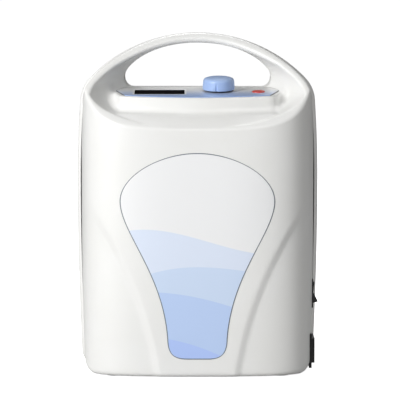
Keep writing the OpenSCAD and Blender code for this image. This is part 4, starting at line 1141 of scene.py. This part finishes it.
# %% Main finishes
white_shell = moulded("white moulded shell", (0.80, 0.80, 0.785), (0.74, 0.735, 0.70), roughness=0.38,
                      coat=0.12, coat_rough=0.25)
rear_white = moulded("white moulded back", (0.78, 0.78, 0.765), (0.72, 0.715, 0.68), roughness=0.42,
                     coat=0.08, coat_rough=0.3)
knob_blue = moulded("pale blue knob", (0.36, 0.49, 0.76), (0.32, 0.45, 0.72), roughness=0.36, grain_mm=0.3)
button_red = moulded("red start button", (0.60, 0.045, 0.03), (0.5, 0.03, 0.02), roughness=0.3, patch=6,
                     dust_share=0.05)
paint(front_shell, white_shell)
paint(rear_shell, rear_white)
paint(knob, knob_blue)
paint(button, button_red)
print("shell finishes:", white_shell.name, "and", rear_white.name)

# %% Label print
# each band: its edge's height, slope, bow and twist (mm against cm across), and its colour
BANDS = [((101.4, -2.8, -0.12, 0.044), (0.69, 0.76, 0.89)),
         ((80.9, 0.04, -0.34, 0.024), (0.58, 0.69, 0.87)),
         ((58.9, -2.1, -0.26, 0.002), (0.48, 0.61, 0.87)),
         ((23.5, -3.4, -0.39, 0.0), (0.42, 0.55, 0.90))]
label_print = moulded("printed label film", (0.83, 0.835, 0.84), roughness=0.3, share=0.08, grain_mm=0.5,
                      grain_depth=0.008, coat=0.25, coat_rough=0.15)
t, shader, g = shader_of(label_print)
axes = add(t, "SeparateXYZ", {0: add(t, "TexCoord").outputs["Object"]})
x_cm = math_node(t, "MULTIPLY", axes.outputs["X"], 100.0)
z_mm = math_node(t, "MULTIPLY", axes.outputs["Z"], 1000.0)
colour = (0.83, 0.835, 0.84)
for (height, slope, bow, twist), tint in BANDS:
    edge = math_node(t, "MULTIPLY_ADD", math_node(t, "MULTIPLY_ADD", x_cm, twist, bow), x_cm, slope)
    edge = math_node(t, "MULTIPLY_ADD", edge, x_cm, height)
    below = step_up(t, math_node(t, "SUBTRACT", edge, z_mm), -0.15, 0.15)
    colour = blend_colour(t, below, colour, tint)
uv = add(t, "SeparateXYZ", {0: add(t, "UVMap", uv_map="edge").outputs[0]}).outputs["X"]
inward = math_node(t, "MULTIPLY", uv, 100.0)
line = math_node(t, "SUBTRACT", 1.0, step_up(t, inward, 0.55, 0.8))
colour = blend_colour(t, line, colour, (0.13, 0.15, 0.18))
t.links.new(colour, g.inputs["Colour"])
g.inputs["Drift share"].default_value = 0.0
paint(label, label_print)
print("label bands:", len(BANDS))

# %% Console print
membrane_print = moulded("printed console sheet", (0.8, 0.8, 0.8), roughness=0.3, share=0.0, grain_mm=0.4,
                         grain_depth=0.01, coat=0.2)
t, shader, g = shader_of(membrane_print)
sheet = add(t, "Mapping", {"Vector": add(t, "TexCoord").outputs["Object"]}, vector_type="TEXTURE")
sheet.inputs["Location"].default_value = (0, PANEL_Y * MM, PANEL_Z * MM)
sheet.inputs["Rotation"].default_value = (PANEL_TILT, 0, 0)
axes = add(t, "SeparateXYZ", {0: sheet.outputs[0]})
across_mm = math_node(t, "ABSOLUTE", math_node(t, "MULTIPLY", axes.outputs["X"], 1000.0))
back_mm = math_node(t, "MULTIPLY", axes.outputs["Y"], 1000.0)
fade = step_up(t, back_mm, 2.0, 34.0)
colour = blend_colour(t, fade, (0.32, 0.46, 0.78), (0.70, 0.70, 0.69))


def box_mask(tree, u, v, centre, size, soft=0.15):
    """1 inside a rectangle on the console."""
    du = math_node(tree, "ABSOLUTE", math_node(tree, "SUBTRACT", u, centre[0]))
    dv = math_node(tree, "ABSOLUTE", math_node(tree, "SUBTRACT", v, centre[1]))
    far = math_node(tree, "MAXIMUM", math_node(tree, "SUBTRACT", du, size[0] / 2),
                    math_node(tree, "SUBTRACT", dv, size[1] / 2))
    return math_node(tree, "SUBTRACT", 1.0, step_up(tree, far, -soft, soft))


signed_mm = math_node(t, "MULTIPLY", axes.outputs["X"], 1000.0)
colour = blend_colour(t, box_mask(t, signed_mm, back_mm, WINDOW[:2], (WINDOW[2] + 2.4, WINDOW[3] + 2.4)),
                      colour, (0.80, 0.81, 0.83))
rear_line = step_up(t, back_mm, PANEL_L - 0.9, PANEL_L - 0.6)
tip = np.array([PANEL_TIPS, PANEL_L - 13.5])
for start, end in ((np.array([PANEL_FRONT, PANEL_BOW]), tip), (tip, np.array([PANEL_FRONT - 3, PANEL_L]))):
    n = np.array([end[1] - start[1], start[0] - end[0]])
    n /= np.linalg.norm(n)
    d = math_node(t, "ADD", math_node(t, "MULTIPLY", across_mm, float(n[0])),
                  math_node(t, "MULTIPLY_ADD", back_mm, float(n[1]), -float(n @ start)))
    rear_line = math_node(t, "MAXIMUM", rear_line, step_up(t, d, -1.0, -0.75))
colour = blend_colour(t, rear_line, colour, (0.10, 0.11, 0.13))
t.links.new(colour, g.inputs["Colour"])
paint(membrane, membrane_print)
print("console print:", len(t.nodes), "nodes")

# %% [markdown]
# ## Wires, sheets and rubber
# Wound wire, stacked laminations and turned metal all show fine parallel lines, and drawn or
# rolled sheet shows a brushed grain. Two more groups make these, one from a folded distance along
# an axis and one from stretched noise. Each material feeds them to a second bump.

# %% Line and brush groups
lines, lines_in, lines_out = socket_group(
    "fine lines", [("Axis", "NodeSocketVector", (0, 0, 1)), ("Spacing", "NodeSocketFloat", 0.5),
                   ("Wander", "NodeSocketFloat", 0.0)], [("Height", "NodeSocketFloat")])
lines_mm = in_millimetres(lines)
along = add(lines, "VectorMath", {0: lines_mm, 1: lines_in.outputs["Axis"]},
            operation="DOT_PRODUCT").outputs["Value"]
waver = math_node(lines, "MULTIPLY", noise(lines, lines_mm, 6.0), lines_in.outputs["Wander"])
turns_along = math_node(lines, "DIVIDE", math_node(lines, "ADD", along, waver), lines_in.outputs["Spacing"])
lines.links.new(math_node(lines, "MULTIPLY", math_node(lines, "PINGPONG", turns_along, 0.5), 2.0),
                lines_out.inputs["Height"])

brush, brush_in, brush_out = socket_group(
    "brushed grain", [("Stretch", "NodeSocketVector", (6, 6, 0.2))], [("Height", "NodeSocketFloat")])
drawn = add(brush, "VectorMath", {0: in_millimetres(brush), 1: brush_in.outputs["Stretch"]},
            operation="MULTIPLY")
brush.links.new(noise(brush, drawn.outputs[0], 1.0, 4.0), brush_out.inputs["Height"])


def textured(m, group, depth, dark=0.0, **values):
    """Adds a line or brush group to a finish: a second bump, and darker grooves."""
    t, shader, g = shader_of(m)
    node = placed(t, group, **values)
    bump = bumped(t, node.outputs["Height"], depth, 0.7, t.nodes[m["bump"]].outputs[0])
    t.links.new(bump.outputs[0], shader.inputs["Normal"])
    if dark:
        groove = math_node(t, "MULTIPLY", math_node(t, "SUBTRACT", 1.0, node.outputs["Height"]), dark)
        t.links.new(blend_colour(t, groove, g.outputs["Colour"], (0.02, 0.02, 0.02)),
                    shader.inputs["Base Color"])
    return m


print("groups:", lines.name, "and", brush.name)

# %% Circuit board
board, board_in, board_out = socket_group(
    "board tracks", [("Mask colour", "NodeSocketColor", (0.01, 0.09, 0.04, 1)),
                     ("Track colour", "NodeSocketColor", (0.03, 0.19, 0.08, 1))],
    [("Colour", "NodeSocketColor"), ("Height", "NodeSocketFloat")])
board_mm = in_millimetres(board)
cells = add(board, "TexVoronoi", {"Vector": board_mm}, feature="DISTANCE_TO_EDGE", Scale=0.28,
            Randomness=0.6)
track = math_node(board, "SUBTRACT", 1.0, step_up(board, cells.outputs["Distance"], 0.08, 0.11))
pads = add(board, "TexVoronoi", {"Vector": board_mm}, feature="F1", Scale=0.39, Randomness=0.0)
pad = math_node(board, "SUBTRACT", 1.0, step_up(board, pads.outputs["Distance"], 0.22, 0.26))
tracked = blend_colour(board, track, board_in.outputs["Mask colour"], board_in.outputs["Track colour"])
board.links.new(blend_colour(board, pad, tracked, (0.55, 0.53, 0.48)), board_out.inputs["Colour"])
board.links.new(math_node(board, "MAXIMUM", track, pad), board_out.inputs["Height"])

board_green = moulded("solder-masked board", (0.01, 0.09, 0.04), roughness=0.3, share=0.0, patch=15,
                      coat=0.3)
t, shader, g = shader_of(board_green)
tracks = placed(t, board)
t.links.new(tracks.outputs["Colour"], g.inputs["Colour"])
raised = bumped(t, tracks.outputs["Height"], 0.05, 1.0, t.nodes[board_green["bump"]].outputs[0])
t.links.new(raised.outputs[0], shader.inputs["Normal"])
print("board group:", len(board.nodes), "nodes")

# %% Plastics
PLASTICS = {
    "black nylon": dict(colour=(0.012, 0.012, 0.013), drift_to=(0.022, 0.022, 0.023), roughness=0.42,
                        patch=12, grain_mm=0.4, grain_depth=0.04),
    "black rocker": dict(colour=(0.010, 0.010, 0.011), drift_to=(0.016, 0.016, 0.017), roughness=0.22,
                         patch=9, grain_mm=0.3, grain_depth=0.008, dust_share=0.08, coat=0.3),
    "grey hose socket": dict(colour=(0.20, 0.22, 0.24), drift_to=(0.17, 0.19, 0.21), roughness=0.4,
                             patch=10, grain_depth=0.03),
    "black display block": dict(colour=(0.010, 0.010, 0.010), roughness=0.5, patch=10, grain_depth=0.03),
    "smoked acrylic window": dict(colour=(0.006, 0.006, 0.007), drift_to=(0.009, 0.009, 0.010),
                                  roughness=0.25, spread=0.05, patch=15, grain_depth=0.001,
                                  dust_share=0.02, specular=0.0),
    "grey control body": dict(colour=(0.12, 0.13, 0.14), drift_to=(0.16, 0.17, 0.17), roughness=0.4,
                              patch=7, grain_mm=0.3),
    "black switch": dict(colour=(0.015, 0.015, 0.015), roughness=0.45, patch=4, grain_mm=0.2),
    "black sensor": dict(colour=(0.020, 0.022, 0.022), drift_to=(0.03, 0.03, 0.03), roughness=0.55,
                         patch=5, grain_mm=0.25),
    "ivory acetal": dict(colour=(0.68, 0.63, 0.48), drift_to=(0.60, 0.54, 0.38), roughness=0.33, patch=18,
                         subsurface=0.1),
    "white acetal rotor": dict(colour=(0.78, 0.77, 0.73), drift_to=(0.70, 0.68, 0.62), roughness=0.28,
                               patch=14, subsurface=0.1),
    "cloudy silicone tube": dict(colour=(0.62, 0.66, 0.66), drift_to=(0.55, 0.58, 0.56), roughness=0.25,
                                 patch=10, grain_mm=0.6, subsurface=0.3),
    "capacitor sleeve": dict(colour=(0.012, 0.03, 0.09), drift_to=(0.02, 0.04, 0.11), roughness=0.25,
                             patch=6, coat=0.4),
    "yellow winding tape": dict(colour=(0.60, 0.36, 0.02), drift_to=(0.52, 0.29, 0.01), roughness=0.3,
                                patch=9, coat=0.3),
    "moulded black rubber": dict(colour=(0.020, 0.020, 0.020), drift_to=(0.035, 0.034, 0.033),
                                 roughness=0.7, patch=7, grain_mm=0.4, grain_depth=0.05, dust_share=0.2)}
finishes = {name: moulded(name, **values) for name, values in PLASTICS.items()}
for name, socket, value in (("smoked acrylic window", "Alpha", 0.93),
                            ("cloudy silicone tube", "Transmission Weight", 0.35)):
    shader_of(finishes[name])[1].inputs[socket].default_value = value
textured(finishes["yellow winding tape"], lines, 0.08, dark=0.12, Axis=(0, 0, 1), Spacing=3.0, Wander=0.6)
print("plastics:", len(finishes))

# %% Metals
METALS = {
    "zinc-plated sheet": dict(colour=(0.60, 0.61, 0.60), drift_to=(0.66, 0.62, 0.50), share=0.4,
                              roughness=0.34, patch=9, grain_mm=0.5),
    "die-cast aluminium": dict(colour=(0.55, 0.56, 0.58), drift_to=(0.44, 0.45, 0.46), share=0.5,
                               roughness=0.5, spread=0.12, patch=11, metallic=0.9, grain_mm=0.7,
                               grain_depth=0.10),
    "stacked core steel": dict(colour=(0.24, 0.24, 0.25), drift_to=(0.20, 0.16, 0.12), share=0.4,
                               roughness=0.42, patch=6, metallic=0.9),
    "ground armature steel": dict(colour=(0.42, 0.42, 0.43), drift_to=(0.34, 0.33, 0.32), roughness=0.3,
                                  patch=7),
    "drawn motor can": dict(colour=(0.55, 0.56, 0.55), drift_to=(0.47, 0.47, 0.45), roughness=0.28,
                            patch=12),
    "turned shaft steel": dict(colour=(0.58, 0.58, 0.57), drift_to=(0.50, 0.50, 0.49), roughness=0.24,
                               patch=4),
    "stamped brass": dict(colour=(0.58, 0.40, 0.14), drift_to=(0.42, 0.26, 0.09), share=0.5,
                          roughness=0.3, patch=3, grain_mm=0.2),
    "nickel-plated blades": dict(colour=(0.66, 0.65, 0.61), drift_to=(0.56, 0.54, 0.48), roughness=0.2,
                                 patch=4, grain_mm=0.2, grain_depth=0.005),
    "enamelled copper wire": dict(colour=(0.48, 0.16, 0.045), drift_to=(0.36, 0.10, 0.03), share=0.5,
                                  roughness=0.25, patch=5, metallic=0.8, coat=0.5)}
finishes.update({name: moulded(name, **{"metallic": 1.0, **values}) for name, values in METALS.items()})
up_shaft = (0, -math.sin(PANEL_TILT), math.cos(PANEL_TILT))
textured(finishes["zinc-plated sheet"], brush, 0.01, Stretch=(0.15, 6, 6))
textured(finishes["stacked core steel"], lines, 0.12, dark=0.5, Axis=(0, 0, 1), Spacing=0.5)
textured(finishes["ground armature steel"], brush, 0.012, Stretch=(0.2, 5, 5))
textured(finishes["drawn motor can"], brush, 0.008, Stretch=(3, 0.2, 3))
textured(finishes["turned shaft steel"], lines, 0.02, Axis=up_shaft, Spacing=0.22)
finishes |= {m.name: m for m in (board_green, steel, pale)}
print("finishes in all:", len(bpy.data.materials))

# %% Every remaining piece gets its finish
for name, *pieces in (
        # The knob's collar takes black nylon as painted shade in the gap under the knob.
        ("black nylon", (housing, "rocker_housing"), (painted_shade_collar, "power_inlet"), (inlet, "power_inlet")),
        ("nickel-plated blades", (blades, "inlet_pins")), ("grey hose socket", (sockets, "air_outlets")),
        ("smoked acrylic window", (window, "display_window")), ("black rocker", (rocker, "rocker")),
        ("black display block", (display, "display_module")),
        ("pale display segments", (segments, "display_module")),
        ("enamelled copper wire", (winding, "field_coil")),
        ("moulded black rubber", (bobbin, "field_coil"))):
    for piece, like in pieces:
        paint(piece, finishes[name])
for node, name in {
        "transformer": "yellow winding tape", "supply_capacitor": "capacitor sleeve",
        "pump_frame": "zinc-plated sheet", "pump_head_left": "die-cast aluminium",
        "pump_head_right": "die-cast aluminium", "field_core": "stacked core steel",
        "armature": "ground armature steel", "distributor_body": "ivory acetal",
        "distributor_rotor": "white acetal rotor", "distributor_motor": "drawn motor can",
        "control_body": "grey control body", "control_shaft": "turned shaft steel",
        "start_switch": "black switch", "pressure_sensor": "black sensor",
        "rocker_terminals": "stamped brass"}.items():
    paint(inner_parts[node], finishes[name])
KEPT = {"solder-masked board": ("control_board", "supply_board"),
        "zinc-plated screw steel": ("control_board_screws", "supply_board_screws", "pump_screws"),
        "moulded black rubber": ("diaphragms", "pump_mounts"),
        "cloudy silicone tube": ("supply_tube_left", "supply_tube_right", "outlet_tube_left",
                                 "outlet_tube_right")}
for name, kept in KEPT.items():
    for node in kept:
        for slot in bpy.data.objects[node].material_slots:
            slot.material = finishes[name]
print("CAD nodes that keep their own mesh:", sum(len(kept) for kept in KEPT.values()))

# %% [markdown]
# ## Stage
# The photo is a studio shot on pure white. A large soft light stands at the front left, a weaker
# one at the front right and above, and a third lights the back. The floor shows white to the
# camera but is darker to every other ray, so it doesn't light the pump from below.

# %% Light
KEY_POWER, FILL_POWER, BACK_POWER = 46, 22, 26
AIR_LIGHT, FLOOR_BOUNCE, FLOOR_GLOW = 0.10, 0.5, 0.95


def soft_light(name, azimuth, elevation, distance, size, power):
    """A rectangular studio light aimed at the pump; azimuth from the front, positive to the left."""
    data = bpy.data.lights.new(name, "AREA")
    data.shape, data.size, data.size_y, data.energy = "RECTANGLE", size[0], size[1], power
    lamp = bpy.data.objects.new(name, data)
    a, e = math.radians(azimuth), math.radians(elevation)
    offset = Vector((-math.sin(a) * math.cos(e), -math.cos(a) * math.cos(e), math.sin(e))) * distance
    lamp.location = Vector((0, 0, 0.12)) + offset
    lamp.rotation_euler = (-offset).to_track_quat("-Z", "Y").to_euler()
    bpy.context.scene.collection.objects.link(lamp)


soft_light("key light", 44, 20, 2.2, (0.8, 0.8), KEY_POWER)
soft_light("fill light", -32, 42, 3.0, (1.8, 1.4), FILL_POWER)
soft_light("back light", 180, 44, 2.6, (1.2, 1.2), BACK_POWER)


def white_to_camera(tree, colour_socket, strength_socket, seen, other):
    """Feeds one value to camera rays and another to all other rays."""
    seen_by_camera = tree.nodes.new("ShaderNodeLightPath").outputs["Is Camera Ray"]
    tree.links.new(blend_colour(tree, seen_by_camera, (other,) * 3, (seen,) * 3), colour_socket)
    strength_socket.default_value = 1.0


world = bpy.data.worlds.new("studio air")
world.use_nodes = True
air = world.node_tree.nodes["Background"]
white_to_camera(world.node_tree, air.inputs["Color"], air.inputs["Strength"], 1.0, AIR_LIGHT)
bpy.context.scene.world = world
bpy.context.scene.view_settings.view_transform = "Standard"

# %% Floor
bpy.ops.mesh.primitive_grid_add(x_subdivisions=40, y_subdivisions=40, size=160)
floor = bpy.context.object
floor.name = "studio_floor"
floor_white = moulded("studio floor", (0.9, 0.9, 0.9), roughness=0.9, share=0.0, dust_share=0,
                      grain_depth=0.0, specular=0.0)
t, shader, g = shader_of(floor_white)
seen_by_camera = t.nodes.new("ShaderNodeLightPath").outputs["Is Camera Ray"]
t.links.new(blend_colour(t, seen_by_camera, (FLOOR_BOUNCE,) * 3, g.outputs["Colour"]),
            shader.inputs["Base Color"])
t.links.new(blend_colour(t, seen_by_camera, (0.0, 0.0, 0.0), (FLOOR_GLOW,) * 3),
            shader.inputs["Emission Color"])
shader.inputs["Emission Strength"].default_value = 1.0
paint(floor, floor_white)
print("floor", round(floor.dimensions.x), "m across")

# %% Camera
ELEVATION, DISTANCE, FRAME_MM = math.radians(5), 2.0, 400 * 0.7365
aim = Vector((2.5 * 0.7365 * MM, 0, 0.12445))
camera_data = bpy.data.cameras.new("camera")
camera = bpy.data.objects.new("camera", camera_data)
bpy.context.scene.collection.objects.link(camera)
camera.location = aim + Vector((0, -math.cos(ELEVATION), math.sin(ELEVATION))) * DISTANCE
camera.rotation_euler = (aim - camera.location).to_track_quat("-Z", "Y").to_euler()
camera_data.sensor_width = 36
camera_data.lens = 36 * DISTANCE / (FRAME_MM * MM)
camera_data.clip_start, camera_data.clip_end = 0.1, 200
bpy.context.scene.camera = camera
print("lens", round(camera_data.lens), "mm")
